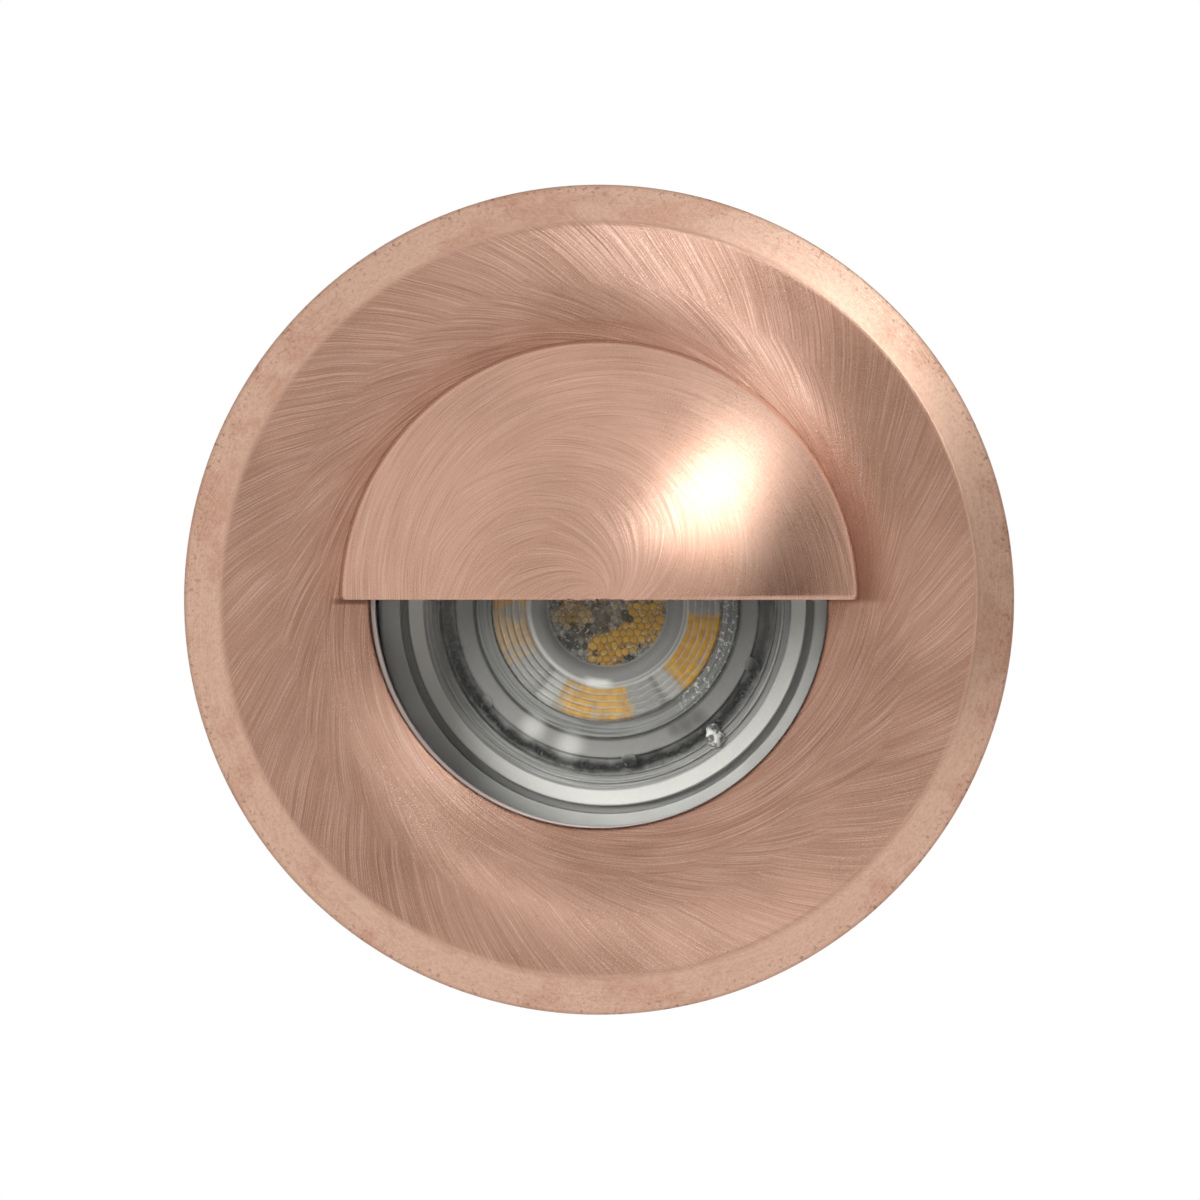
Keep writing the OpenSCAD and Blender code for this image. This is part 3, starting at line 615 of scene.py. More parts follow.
    def tipped(self, g: Graph, radius: Wire, where: Wire, strokes: Wire,
               rim: Wire) -> tuple[Wire, Wire]:
        """The normal, tipped across the strokes by scratches too fine to be seen one by one.

        Args:
            g: The graph.
            radius: Distance from the axis, in mm.
            where: The place on the object, in mm.
            strokes: The strokes that can be seen.
            rim: 1 on the bevelled rim.

        Returns:
            The normal, and 1 on the steep flank of a scratch.
        """
        outer = self.leans[-1][0]
        stops = [(r / outer, ((lean - self.least_lean) / self.full_turn,) * 3)
                 for r, lean in self.leans]
        degrees = g.ramp(radius / outer, stops) * self.full_turn + self.least_lean
        lean = degrees * (math.pi / 180)
        ring = g.node("ShaderNodeVectorTransform", {
            "vector_type": "VECTOR", "convert_from": "OBJECT", "convert_to": "WORLD",
        }, {0: g.across("CROSS_PRODUCT", where, (0.0, 1.0, 0.0))}).out(0)
        ring = g.across("NORMALIZE", ring)
        plain = g.node("ShaderNodeNewGeometry", {}, {}).out("Normal")
        outward = g.across("CROSS_PRODUCT", ring, plain)
        square = g.across("SUBTRACT", g.across("SCALE", outward, g.math("COSINE", lean)),
                          g.across("SCALE", ring, g.math("SINE", lean)))
        white = g.node("ShaderNodeTexWhiteNoise", {"noise_dimensions": "3D"}, {"Vector": where})
        draw = g.across("DOT_PRODUCT", white.out("Color"), self.weights) - sum(self.weights) / 2
        share = (1.0 - rim * 0.55) * (0.35 + radius.step(*self.calm_r) * 0.65)
        slope = draw * (2.0 * self.spread) * share + (strokes - 0.5) * self.tips
        steep = g.math("ABSOLUTE", draw).step(0.15, 0.55)
        normal = g.across("NORMALIZE", g.across("ADD", plain, g.across("SCALE", square, slope)))
        return normal, steep


@dataclass(frozen=True)
class Metal:
    """A plain metal with a fine grain, turned or drawn.

    Attributes:
        name: The material's name.
        colour: Its colour.
        rough: Its roughness.
        grain: Swells of the grain along a millimetre.
        depth: Depth of the grain, in metres.
        dulled: How dark the dull patches are, as a share of the colour.
    """

    name: str
    colour: Colour
    rough: float = 0.35
    grain: float = 6.0
    depth: float = 0.00001
    dulled: float = 0.82

    def build(self) -> bpy.types.Material:
        """The material.

        Returns:
            The material.
        """
        g = Graph(self.name)
        x, y, z = g.place()
        where = g.vector(x, y, z)
        cloud = g.noise(where, 0.12, 2.0)
        grain = g.noise(where, self.grain, 3.0, 0.6)
        turned = g.noise(g.vector(x * 0.15, y * 5.0, z * 0.15), 1.0, 2.0)
        dull = tuple(c * self.dulled for c in self.colour)
        tone = g.mix(cloud.step(0.35, 0.7), dull, self.colour)
        rough = self.rough + (grain - 0.5) * 0.12 + (turned - 0.5) * 0.1
        normal = g.bump(grain * 0.5 + turned * 0.5, self.depth)
        return g.finish(g.principled({
            "Base Color": tone, "Metallic": 1.0, "Roughness": rough, "Normal": normal}))


@dataclass(frozen=True)
class Moulded:
    """Moulded plastic, rubber, ceramic or anodised skin, with a fine grain and a little dust.

    Attributes:
        name: The material's name.
        colour: Its colour.
        rough: Its roughness.
        grain: Swells of the grain along a millimetre.
        depth: Depth of the grain, in metres.
        metallic: How metallic it is.
        dulled: How dark the dull patches are, as a share of the colour.
        dust: Colour of the dust.
    """

    name: str
    colour: Colour
    rough: float = 0.5
    grain: float = 5.0
    depth: float = 0.00001
    metallic: float = 0.0
    dulled: float = 0.85
    dust: Colour = (0.5, 0.5, 0.48)

    def build(self) -> bpy.types.Material:
        """The material.

        Returns:
            The material.
        """
        g = Graph(self.name)
        x, y, z = g.place()
        where = g.vector(x, y, z)
        cloud = g.noise(where, 0.15, 2.0)
        grain = g.noise(where, self.grain, 3.0, 0.6)
        dull = tuple(c * self.dulled for c in self.colour)
        tone = g.mix(cloud.step(0.3, 0.7), dull, self.colour)
        tone = g.mix(grain.step(0.6, 0.75) * 0.05, tone, self.dust)
        rough = self.rough + (grain - 0.5) * 0.15
        normal = g.bump(grain, self.depth)
        return g.finish(g.principled({
            "Base Color": tone, "Metallic": self.metallic, "Roughness": rough, "Normal": normal}))


@dataclass(frozen=True)
class Pane:
    """Clear toughened glass, thin enough to let the lamps through.

    Attributes:
        name: The material's name.
        tint: Colour of what is seen through it.
        mirror: Colour of what it mirrors.
        index: How strongly it mirrors at a slant.
    """

    name: str
    tint: Colour = (0.97, 0.97, 0.962)
    mirror: Colour = (0.82, 0.85, 0.84)
    index: float = 1.2

    def build(self) -> bpy.types.Material:
        """The material.

        Returns:
            The material.
        """
        g = Graph(self.name)
        x, y, z = g.place()
        dust = g.noise(g.vector(x, y, z), 3.0, 3.0, 0.6).step(0.64, 0.8)
        edge = g.node("ShaderNodeFresnel", {}, {"IOR": self.index}).out(0)
        clear = g.node("ShaderNodeBsdfTransparent", {}, {"Color": self.tint}).out(0)
        glossy = g.principled({"Base Color": self.mirror, "Metallic": 1.0, "Roughness": 0.03})
        return g.finish(g.cover((edge + dust * 0.03).clamp(), clear, glossy))


@dataclass(frozen=True)
class Sparkle:
    """A small lump of clear plastic with an uneven skin, whose glints are painted into its colour.

    Attributes:
        name: The material's name.
        deep: Tone of the lump between its painted glints.
        bright: Tone of its painted glints.
        tint: Colour of what is seen through it.
        uneven: Depth of its uneven skin, in metres.
    """

    name: str
    deep: Colour = (0.26, 0.26, 0.25)
    bright: Colour = (0.90, 0.90, 0.88)
    tint: Colour = (0.95, 0.95, 0.94)
    uneven: float = 0.0003

    def build(self) -> bpy.types.Material:
        """The material.

        Returns:
            The material.
        """
        g = Graph(self.name)
        x, y, z = g.place()
        where = g.vector(x, y, z)
        patch = g.noise(where, 1.25, 2.0, 0.6)
        # Painted glints: bright patches of the lump's colour stand in for its glints.
        tone = g.mix(patch.step(0.42, 0.6), self.deep, self.bright)
        body = g.principled({"Base Color": tone, "Roughness": 0.12 + patch * 0.1,
                             "Normal": g.bump(patch, self.uneven)})
        clear = g.node("ShaderNodeBsdfTransparent", {}, {"Color": self.tint}).out(0)
        return g.finish(g.cover(0.45 + patch.step(0.35, 0.6) * 0.5, clear, body))


@dataclass(frozen=True)
class LensFront:
    """The lamp's moulded lens, with its rings, ridges and honeycomb, and painted in its colour what
    shows in them: the chips seen through it, painted reflections, painted highlights and glints, and
    painted shade.

    Attributes:
        name: The material's name.
        centre: The lamp's axis, along X and Z in mm.
        back_y: Depth behind which the lens is clear, in mm.
        reach: Radius at which the tones end, in mm.
        tones: Radii in mm and how pale the lens is there: partly the rings' own tones, partly painted
            reflection in the pale outer flange band and painted shade in the dark ring by the rim.
        lined: Inner and outer radius of the two zones with fine turned lines, in mm.
        speckled_r: Radii between which the dark speckled ring of painted shade comes up.
        speckled_end_r: Radii between which it fades, in mm.
        chip_start: Angle at which the first orange segment begins, clockwise from the right.
        chip_arc: How far each orange segment reaches, in degrees.
        chip_turn: Angle from one segment to the next.
        chip_painted_light: How strongly the segments show, by their share of a turn: painted light and
            shade, strong at the right and the bottom and weak at the left.
        ridge_in: Radius of the first ridge, in mm.
        ridge_out: Radius of the last one's outside, in mm.
        ridge_pitch: Distance between ridges, in mm.
        glint_turn: Angles between which the inmost ridge has a painted glint, in degrees.
        glint_r: Radii between which it has the painted glint, in mm.
        sparkle_turn: Angles between which the outer ridge has painted sparkles, in degrees.
        sparkle_r: Radii between which it has painted sparkles, in mm.
        comb_r: Radius of the honeycomb, in mm.
        comb_pitch: Distance between its cells, in mm.
        orange: Colour of a chip, painted on the lens where a chip shows through it.
        amber: Colour of a chip where less of it shows.
        patches: Where orange is painted in the honeycomb, as the chips seen through its cells, about
            the lamp's axis.
        painted_light_spots: Soft spots of painted light on the board, about the lamp's axis.
        shades: Soft spots of painted shade on the board, about the lamp's axis.
        tint: Colour of what is seen through the lens.
    """

    name: str
    centre: Point
    back_y: float = 8.3
    reach: float = 23.0
    tones: tuple[Point, ...] = (
        (0.0, 0.30), (6.2, 0.30), (6.45, 0.46), (6.7, 0.32), (7.5, 0.38), (8.25, 0.30), (8.42, 0.60),
        (8.85, 0.62), (9.0, 0.40), (12.4, 0.36), (12.65, 0.16), (13.4, 0.21), (14.2, 0.18),
        (14.36, 0.10), (14.54, 0.10), (14.85, 0.30), (16.2, 0.33), (16.8, 0.28), (18.3, 0.28),
        (18.42, 0.42), (18.6, 0.29), (19.1, 0.36), (19.25, 0.62), (19.4, 0.35), (20.0, 0.40),
        (20.2, 0.84), (21.7, 0.90), (21.85, 0.36), (22.6, 0.33),
    )
    lined: tuple[Point, Point] = ((18.3, 20.1), (12.6, 14.3))
    speckled_r: Point = (16.3, 17.4)
    speckled_end_r: Point = (17.7, 18.5)
    chip_start: float = 4.0
    chip_arc: float = 43.0
    chip_turn: float = 72.0
    chip_painted_light: tuple[Point, ...] = (
        (0.0, 0.8), (0.12, 1.0), (0.33, 1.0), (0.40, 0.85), (0.60, 0.8), (0.68, 0.5), (1.0, 0.42))
    ridge_in: float = 8.9
    ridge_out: float = 12.55
    ridge_pitch: float = 0.73
    glint_turn: Point = (88.0, 106.0)
    glint_r: Point = (8.0, 9.0)
    sparkle_turn: Point = (-6.0, 52.0)
    sparkle_r: Point = (12.4, 14.3)
    comb_r: float = 6.5
    comb_pitch: float = 0.83
    orange: Colour = (1.0, 0.56, 0.075)
    amber: Colour = (0.75, 0.39, 0.06)
    patches: tuple[Spot, ...] = (
        (0.1, -4.6, 3.0), (2.3, -3.4, 2.2), (4.2, -1.6, 3.2), (-3.9, -0.6, 2.4), (-2.6, 3.6, 2.8),
        (2.4, 3.9, 2.8))
    painted_light_spots: tuple[Spot, ...] = ((-8.2, -13.2, 1.9), (-4.1, -15.2, 2.1))
    shades: tuple[Spot, ...] = ((8.6, -12.9, 1.7), (9.9, -12.2, 1.5), (7.4, -13.4, 1.2))
    tint: Colour = (0.94, 0.95, 0.94)

    def build(self) -> bpy.types.Material:
        """The material.

        Returns:
            The material.
        """
        g = Graph(self.name)
        x, y, z = g.place()
        where = g.vector(x, y, z)
        u, v = x - self.centre[0], z - self.centre[1]
        radius = g.reach(u, v)
        turn = g.math("ARCTAN2", 0.0 - v, u) * (180 / math.pi)
        fine = g.noise(where, 2.6, 3.0, 0.7)
        stops = [(r / self.reach, (c, c * 0.99, c * 0.96)) for r, c in self.tones]
        # The rings' tones: partly the lens's own, partly painted reflection (the pale outer flange
        # band) and painted shade (the dark ring by the rim).
        tone = g.ramp(radius / self.reach, stops)
        around = g.math("COSINE", turn * (math.pi / 180))
        rings = g.noise(g.vector(radius * 4.2, around * 1.5, v * 0.05), 1.0, 2.0, 0.7)
        lined = radius.band(*self.lined[0], 0.1) + radius.band(*self.lined[1], 0.1)
        tone = g.mix(rings.step(0.35, 0.5) * lined * 0.3, tone, (0.62, 0.63, 0.62))
        tone = g.mix(rings.step(0.6, 0.45) * lined * 0.45, tone, (0.13, 0.135, 0.13))
        tone = self.board(g, tone, where, turn, u, v, fine)
        tone, shown = self.ridges(g, tone, where, radius, turn)
        tone, comb, edge = self.comb(g, tone, u, v, fine)
        share = 0.93 - shown * 0.16 - comb * 0.3
        share = share * (1.0 - y.step(self.back_y - 0.1, self.back_y) * 0.95)
        height = fine * 0.3 + rings * lined * 0.5 + (1.0 - edge * edge) * comb
        body = g.principled({"Base Color": tone, "Roughness": 0.22 + fine * 0.1, "IOR": 1.32,
                             "Normal": g.bump(height, 0.00008)})
        clear = g.node("ShaderNodeBsdfTransparent", {}, {"Color": self.tint}).out(0)
        return g.finish(g.cover(share.clamp(), clear, body))

    def board(self, g: Graph, tone: Wire, where: Wire, turn: Wire, u: Wire, v: Wire,
              fine: Wire) -> Wire:
        """Adds painted light and shade: the dark speckled ring (painted shade, darker towards the
        bottom), the board's soft spots of painted light and painted shade, and painted sparkles round
        the ridges.

        Args:
            g: The graph.
            tone: The tone so far.
            where: The place on the object, in mm.
            turn: Angle about the lamp's axis, clockwise from the right, in degrees.
            u: Distance to the right of the lamp's axis, in mm.
            v: Distance above it, in mm.
            fine: Fine noise, which makes the speckles.

        Returns:
            The tone.
        """
        radius = g.reach(u, v)
        uneven = radius + (g.noise(where, 0.5, 3.0, 0.6) - 0.5) * 1.4
        # Painted shade: the dark speckled ring stands in for the shaded gap seen under the lens, and is
        # darker towards the bottom.
        low = (0.0 - v).step(-1.0, 9.0)
        dark = uneven.step(*self.speckled_r) * (1.0 - uneven.step(*self.speckled_end_r))
        dark = dark * (0.55 + low * 0.45) * (1.0 - fine.step(0.56, 0.7) * 0.4)
        tone = g.mix(dark, tone, (0.022, 0.023, 0.022))
        # Painted light and painted shade: soft pale and dark spots on the board.
        tone = g.mix(g.spots(u, v, self.painted_light_spots) * 0.75, tone, (0.70, 0.70, 0.68))
        tone = g.mix(g.spots(u, v, self.shades) * 0.6, tone, (0.09, 0.09, 0.085))
        # Painted sparkles: white specks round the outer ridges, on the right side only.
        bright = g.noise(where, 2.4, 2.0, 0.7).step(0.56, 0.64)
        near = radius.band(*self.sparkle_r, 0.3) * turn.band(*self.sparkle_turn, 8.0)
        return g.mix(bright * near * 0.75, tone, (0.90, 0.90, 0.88))

    def ridges(self, g: Graph, tone: Wire, where: Wire, radius: Wire,
               turn: Wire) -> tuple[Wire, Wire]:
        """Adds the orange segments, a painted image of the chips seen through the ridges, broken into
        dashes by them, with painted light and shade by side, painted highlights on the ridge lines and
        a painted glint.

        Args:
            g: The graph.
            tone: The tone so far.
            where: The place on the object, in mm.
            radius: Distance from the lamp's axis, in mm.
            turn: Angle about the lamp's axis, clockwise from the right, in degrees.

        Returns:
            The tone, and 1 where orange shows.
        """
        wobble = (g.noise(where, 0.9, 2.0, 0.6) - 0.5) * 0.5
        row = (radius + wobble - self.ridge_in) / self.ridge_pitch
        line = g.math("ABSOLUTE", row % 1.0 - 0.5).step(0.3, 0.48)
        number = g.math("FLOOR", row)
        dashes = g.noise(g.vector(turn * 0.22, number * 7.3, 0.0), 1.0, 2.0, 0.6)
        cloud = g.noise(where, 0.42, 2.0, 0.6)
        share = (turn + (dashes - 0.5) * 7.0 - self.chip_start) % self.chip_turn
        on = share.band(0.5, self.chip_arc - 0.5, 3.0)
        zone = radius.band(self.ridge_in, self.ridge_out, 0.2)
        gap = share.band(self.chip_arc + 10.5, self.chip_arc + 13.5, 2.0) * zone
        pale = share.band(self.chip_arc + 0.5, self.chip_arc + 9.5, 2.5) * zone
        tone = g.mix(pale * 0.5, tone, (0.62, 0.62, 0.59))
        tone = g.mix(gap * 0.45, tone, (0.12, 0.12, 0.115))
        # Painted light and shade: the segments show strongly at the right and the bottom and weakly at
        # the left.
        strong = g.ramp((turn + 30.0) / 240.0, [(r, (c, c, c)) for r, c in self.chip_painted_light])
        shown = on * zone * (1.0 - line * 0.7)
        shown = shown * (cloud.step(0.34, 0.56) + strong * 0.35).clamp() * strong
        amber = g.mix(dashes.step(0.3, 0.7), self.amber, self.orange)
        tone = g.mix(shown * 0.95, tone, amber)
        # Painted highlights on the ridge lines.
        lit = line * zone * (dashes.step(0.35, 0.6) * 0.35 + 0.15)
        tone = g.mix(lit, tone, (0.78, 0.77, 0.72))
        # Painted glint on the inmost ridge.
        glint = turn.band(*self.glint_turn, 5.0) * radius.band(*self.glint_r, 0.3)
        return g.mix(glint * 0.85, tone, (0.95, 0.95, 0.93)), shown

    def comb(self, g: Graph, tone: Wire, u: Wire, v: Wire, fine: Wire) -> tuple[Wire, Wire, Wire]:
        """Adds the honeycomb, with orange painted in the cells that look at a chip, weaker at the left
        as painted shade, and painted glints on the cells.

        Args:
            g: The graph.
            tone: The tone so far.
            u: Distance to the right of the lamp's axis, in mm.
            v: Distance above it, in mm.
            fine: Fine noise, which makes the glints.

        Returns:
            The tone, 1 on the honeycomb, and 1 at the edges of its cells.
        """
        bend = g.noise(g.vector(u, v, 0.0), 0.55, 1.0) - 0.5
        edge, own = g.hexagons(u + bend * 0.9, v - bend * 0.7, self.comb_pitch)
        comb = 1.0 - g.reach(u, v).step(self.comb_r - 0.15, self.comb_r + 0.1)
        soft = g.noise(g.vector(u, v, 3.0), 0.8, 2.0, 0.6)
        patch = g.spots(u, v, self.patches) + (own - 0.5) * 1.3 + (soft - 0.5) * 1.4
        # Painted shade: the orange in the cells is weaker at the left.
        dim = 0.45 + u.step(-3.2, -1.2) * 0.55
        cell = g.mix((own + soft - 0.5).step(0.3, 0.7), (0.06, 0.058, 0.052), (0.46, 0.45, 0.42))
        chip = g.mix(own.step(0.3, 0.7), (0.75, 0.38, 0.06), self.orange)
        cell = g.mix(patch.step(0.15, 0.6) * dim, cell, chip)
        cell = g.mix(edge.step(0.72, 0.96) * 0.75, cell, (0.20, 0.18, 0.15))
        # Painted glints: white specks on the cells.
        cell = g.mix(fine.step(0.56, 0.66) * 0.75, cell, (0.86, 0.85, 0.82))
        return g.mix(comb, tone, cell), comb, edge


class Bench:
    """Modelling by Blender's operators, as at a bench."""

    @staticmethod
    def clear() -> None:
        """Deselects all."""
        bpy.ops.object.select_all(action="DESELECT")

    @staticmethod
    def pick(part: bpy.types.Object) -> None:
        """Makes the object the only one selected, and the active one."""
        Bench.clear()
        part.select_set(True)
        bpy.context.view_layer.objects.active = part

    @staticmethod
    def settle(part: bpy.types.Object, name: str) -> bpy.types.Object:
        """Names the object and writes its place into its mesh.

        Args:
            part: The object.
            name: Its name.

        Returns:
            The object.
        """
        Bench.pick(part)
        bpy.ops.object.transform_apply(location=True, rotation=True, scale=True)
        part.name = name
        part.data.name = name
        return part

    @staticmethod
    def select(part: bpy.types.Object, kind: str, keep: Callable[[Vector], bool]) -> None:
        """Selects vertices, edges or faces all of whose points pass a test.

        Args:
            part: The object, in edit mode.
            kind: VERT, EDGE or FACE.
            keep: The test on a point, in metres.
        """
        bpy.ops.mesh.select_mode(type=kind)
        bpy.ops.mesh.select_all(action="DESELECT")
        bpy.ops.object.mode_set(mode="OBJECT")
        mesh, world = part.data, part.matrix_world
        hit = [keep(world @ v.co) for v in mesh.vertices]
        group = {"VERT": mesh.vertices, "EDGE": mesh.edges, "FACE": mesh.polygons}[kind]
        for item in group:
            points = [item.index] if kind == "VERT" else item.vertices
            item.select = all(hit[i] for i in points)
        bpy.ops.object.mode_set(mode="EDIT")

    @staticmethod
    def join_up(gap: float) -> None:
        """Merges near points of the object that is being edited, and turns its normals outwards.

        Args:
            gap: How near two points must be, in mm.
        """
        bpy.ops.mesh.select_all(action="SELECT")
        bpy.ops.mesh.remove_doubles(threshold=gap * MM)
        bpy.ops.mesh.normals_make_consistent(inside=False)
        bpy.ops.object.mode_set(mode="OBJECT")

    @staticmethod
    def path(points: Sequence[Vector]) -> bpy.types.Object:
        """A row of edges, drawn from a plane's middle by extrusion.

        Args:
            points: The row's points, in metres.

        Returns:
            The object.
        """
        Bench.clear()
        bpy.ops.mesh.primitive_plane_add(size=MM, location=points[0])
        part = bpy.context.object
        bpy.ops.object.mode_set(mode="EDIT")
        bpy.ops.mesh.select_mode(type="VERT")
        bpy.ops.mesh.select_all(action="SELECT")
        bpy.ops.mesh.merge(type="CENTER")
        for a, b in zip(points, points[1:]):
            bpy.ops.mesh.extrude_vertices_move(TRANSFORM_OT_translate={"value": b - a})
        bpy.ops.object.mode_set(mode="OBJECT")
        return part

    @staticmethod
    def turn(name: str, outline: Sequence[Point], centre: Point = (0.0, 0.0), steps: int = 192,
             closed: bool = True) -> bpy.types.Object:
        """Turns an outline about an axis along Y.

        Args:
            name: The object's name.
            outline: Points as radius and depth, in mm.
            centre: The axis's place along X and Z, in mm.
            steps: Steps round the axis.
            closed: Whether the last point joins the first.

        Returns:
            The object.
        """
        cx, cz = centre[0] * MM, centre[1] * MM
        part = Bench.path([Vector((cx + r * MM, d * MM, cz)) for r, d in outline])
        if closed:
            last = len(part.data.vertices) - 1
            for vertex in part.data.vertices:
                vertex.select = vertex.index in (0, last)
            bpy.ops.object.mode_set(mode="EDIT")
            bpy.ops.mesh.edge_face_add()
        bpy.ops.object.mode_set(mode="EDIT")
        bpy.ops.mesh.select_all(action="SELECT")
        bpy.ops.mesh.spin(steps=steps, angle=math.tau, center=(cx, 0.0, cz), axis=(0.0, 1.0, 0.0))
        Bench.join_up(0.004)
        return Bench.settle(part, name)

    @staticmethod
    def wire(name: str, route: Sequence[Vector], radius: float) -> bpy.types.Object:
        """Round wire along a route.

        Args:
            name: The object's name.
            route: The route's points, in mm.
            radius: Radius of the wire, in mm.

        Returns:
            The object.
        """
        part = Bench.path([point * MM for point in route])
        Bench.pick(part)
        bpy.ops.object.convert(target="CURVE")
        part = bpy.context.object
        part.data.bevel_depth = radius * MM
        part.data.bevel_resolution = 4
        part.data.use_fill_caps = True
        bpy.ops.object.convert(target="MESH")
        part = Bench.settle(bpy.context.object, name)
        bpy.ops.object.mode_set(mode="EDIT")
        Bench.join_up(0.002)
        return Bench.smooth(part, 50.0)

    @staticmethod
    def smooth(part: bpy.types.Object, angle: float = 30.0) -> bpy.types.Object:
        """Shades the object smooth, but for edges sharper than the angle."""
        Bench.pick(part)
        bpy.ops.object.shade_smooth_by_angle(angle=math.radians(angle))
        return part

    @staticmethod
    def soften(node: str, width: float, angle: float = 35.0) -> bpy.types.Object:
        """A copy of a CAD node with its edges broken.

        Args:
            node: The node's name.
            width: Width of the rounding, in mm.
            angle: Edges sharper than this are broken, in degrees.

        Returns:
            The copy.
        """
        part = bpy.data.objects.new(f"{node}_soft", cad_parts[node].data.copy())
        bpy.context.scene.collection.objects.link(part)
        part.data.materials.clear()
        Bench.pick(part)
        bpy.ops.object.mode_set(mode="EDIT")
        bpy.ops.mesh.select_all(action="SELECT")
        bpy.ops.mesh.remove_doubles(threshold=MM * 0.002)
        bpy.ops.mesh.customdata_custom_splitnormals_clear()
        bpy.ops.mesh.dissolve_limited(angle_limit=math.radians(0.5))
        bpy.ops.object.mode_set(mode="OBJECT")
        bevel = part.modifiers.new("soft_edges", "BEVEL")
        bevel.width = width * MM
        bevel.segments = 2
        bevel.limit_method = "ANGLE"
        bevel.angle_limit = math.radians(angle)
        bpy.ops.object.modifier_apply(modifier=bevel.name)
        part.data.name = part.name
        return Bench.smooth(part, angle)


def show(part: bpy.types.Object, body: Optional[str], finish: bpy.types.Material,
         nodes: Iterable[str] = ()) -> None:
    """Gives a piece its finish and its body, and hides the CAD nodes that it stands for.

    Args:
        part: The piece.
        body: The body that it rides on, or None where it is blended between two.
        finish: Its material.
        nodes: The CAD nodes that it stands for.
    """
    part.data.materials.clear()
    part.data.materials.append(finish)
    if body is not None:
        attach(part, body)
    if nodes:
        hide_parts(*nodes)
    log.info("%s: %d faces on %s", part.name, len(part.data.polygons), body)


Finish = Union[BrushedCopper, Metal, Moulded, Pane, Sparkle, LensFront]


@dataclass
class Finishes:
    """Every finish, made once.

    Attributes:
        made: The materials, by their finishes' names.
    """

    made: dict[str, bpy.types.Material] = field(default_factory=dict)

    def get(self, finish: Finish) -> bpy.types.Material:
        """The finish's material.

        Args:
            finish: The finish.

        Returns:
            Its material, the same one each time.
        """
        if finish.name not in self.made:
            self.made[finish.name] = finish.build()
        return self.made[finish.name]


FACE_COPPER = BrushedCopper(
    "face_copper", Part.FACE,
    ((0.0, 4.0), (29.8, 5.0), (31.4, 14.0), (33.1, 28.0), (34.7, 39.0), (37.9, 49.0), (40.4, 53.0),
     (41.2, -12.0), (46.0, -14.0)),
    (Swathe(9.0, 22.0, 30.5), Swathe(26.0, 30.5, 34.2), Swathe(45.0, 34.2, 41.0),
     Swathe(4.0, 41.0, 47.0)),
    spread=0.35, weights=(1.0, 0.4, 0.0), tips=0.34, width=0.07)
HOOD_COPPER = BrushedCopper(
    "hood_copper", Part.HOOD,
    ((0.0, 68.0), (5.4, 55.0), (8.7, 42.0), (11.4, 31.0), (14.1, 20.0), (16.3, 14.0), (19.5, 4.0),
     (22.8, -3.0), (30.0, -3.0)),
    (Swathe(50.0, 0.0, 9.5), Swathe(31.0, 9.5, 13.2), Swathe(16.0, 13.2, 18.0),
     Swathe(-4.0, 18.0, 30.0)),
    dark=(0.51, 0.293, 0.212), mid=(0.575, 0.335, 0.245), light=(0.70, 0.465, 0.37),
    flank=(1.40, 1.66, 1.80), calm_r=(4.0, 11.0), spread=0.1, streaks=0.1, tips=0.2)
DARK_ALUMINIUM = Moulded("dark_anodised", (0.055, 0.057, 0.06), 0.42, 6.0, 0.00001, 0.6)
LAMP_ALUMINIUM = Metal("lamp_aluminium", (0.50, 0.51, 0.50), 0.38)
STAINLESS = Metal("stainless", (0.56, 0.56, 0.56), 0.3)
SPRING_STEEL = Metal("spring_steel", (0.40, 0.40, 0.41), 0.3)
CONTACT_BRASS = Metal("contact_brass", (0.66, 0.5, 0.22), 0.3)
BLACK_RUBBER = Moulded("black_rubber", (0.022, 0.022, 0.024), 0.7)
CLEAR_SILICONE = Moulded("clear_silicone", (0.72, 0.64, 0.62), 0.4, metallic=0.7)
CERAMIC = Moulded("ceramic", (0.72, 0.70, 0.65), 0.6)
BLACK_NYLON = Moulded("black_nylon", (0.028, 0.029, 0.031), 0.5)
LAMP_PLASTIC = Moulded("lamp_plastic", (0.55, 0.55, 0.53), 0.35)
BEZEL_PAINT = Moulded("bezel_paint", (0.60, 0.60, 0.585), 0.4)
LEAD_RED = Moulded("lead_red", (0.42, 0.03, 0.02), 0.45)
BOARD = Moulded("led_board", (0.36, 0.375, 0.36), 0.45)
PHOSPHOR = Moulded("phosphor", (0.86, 0.48, 0.07), 0.4)
GLASS = Pane("clear_glass")


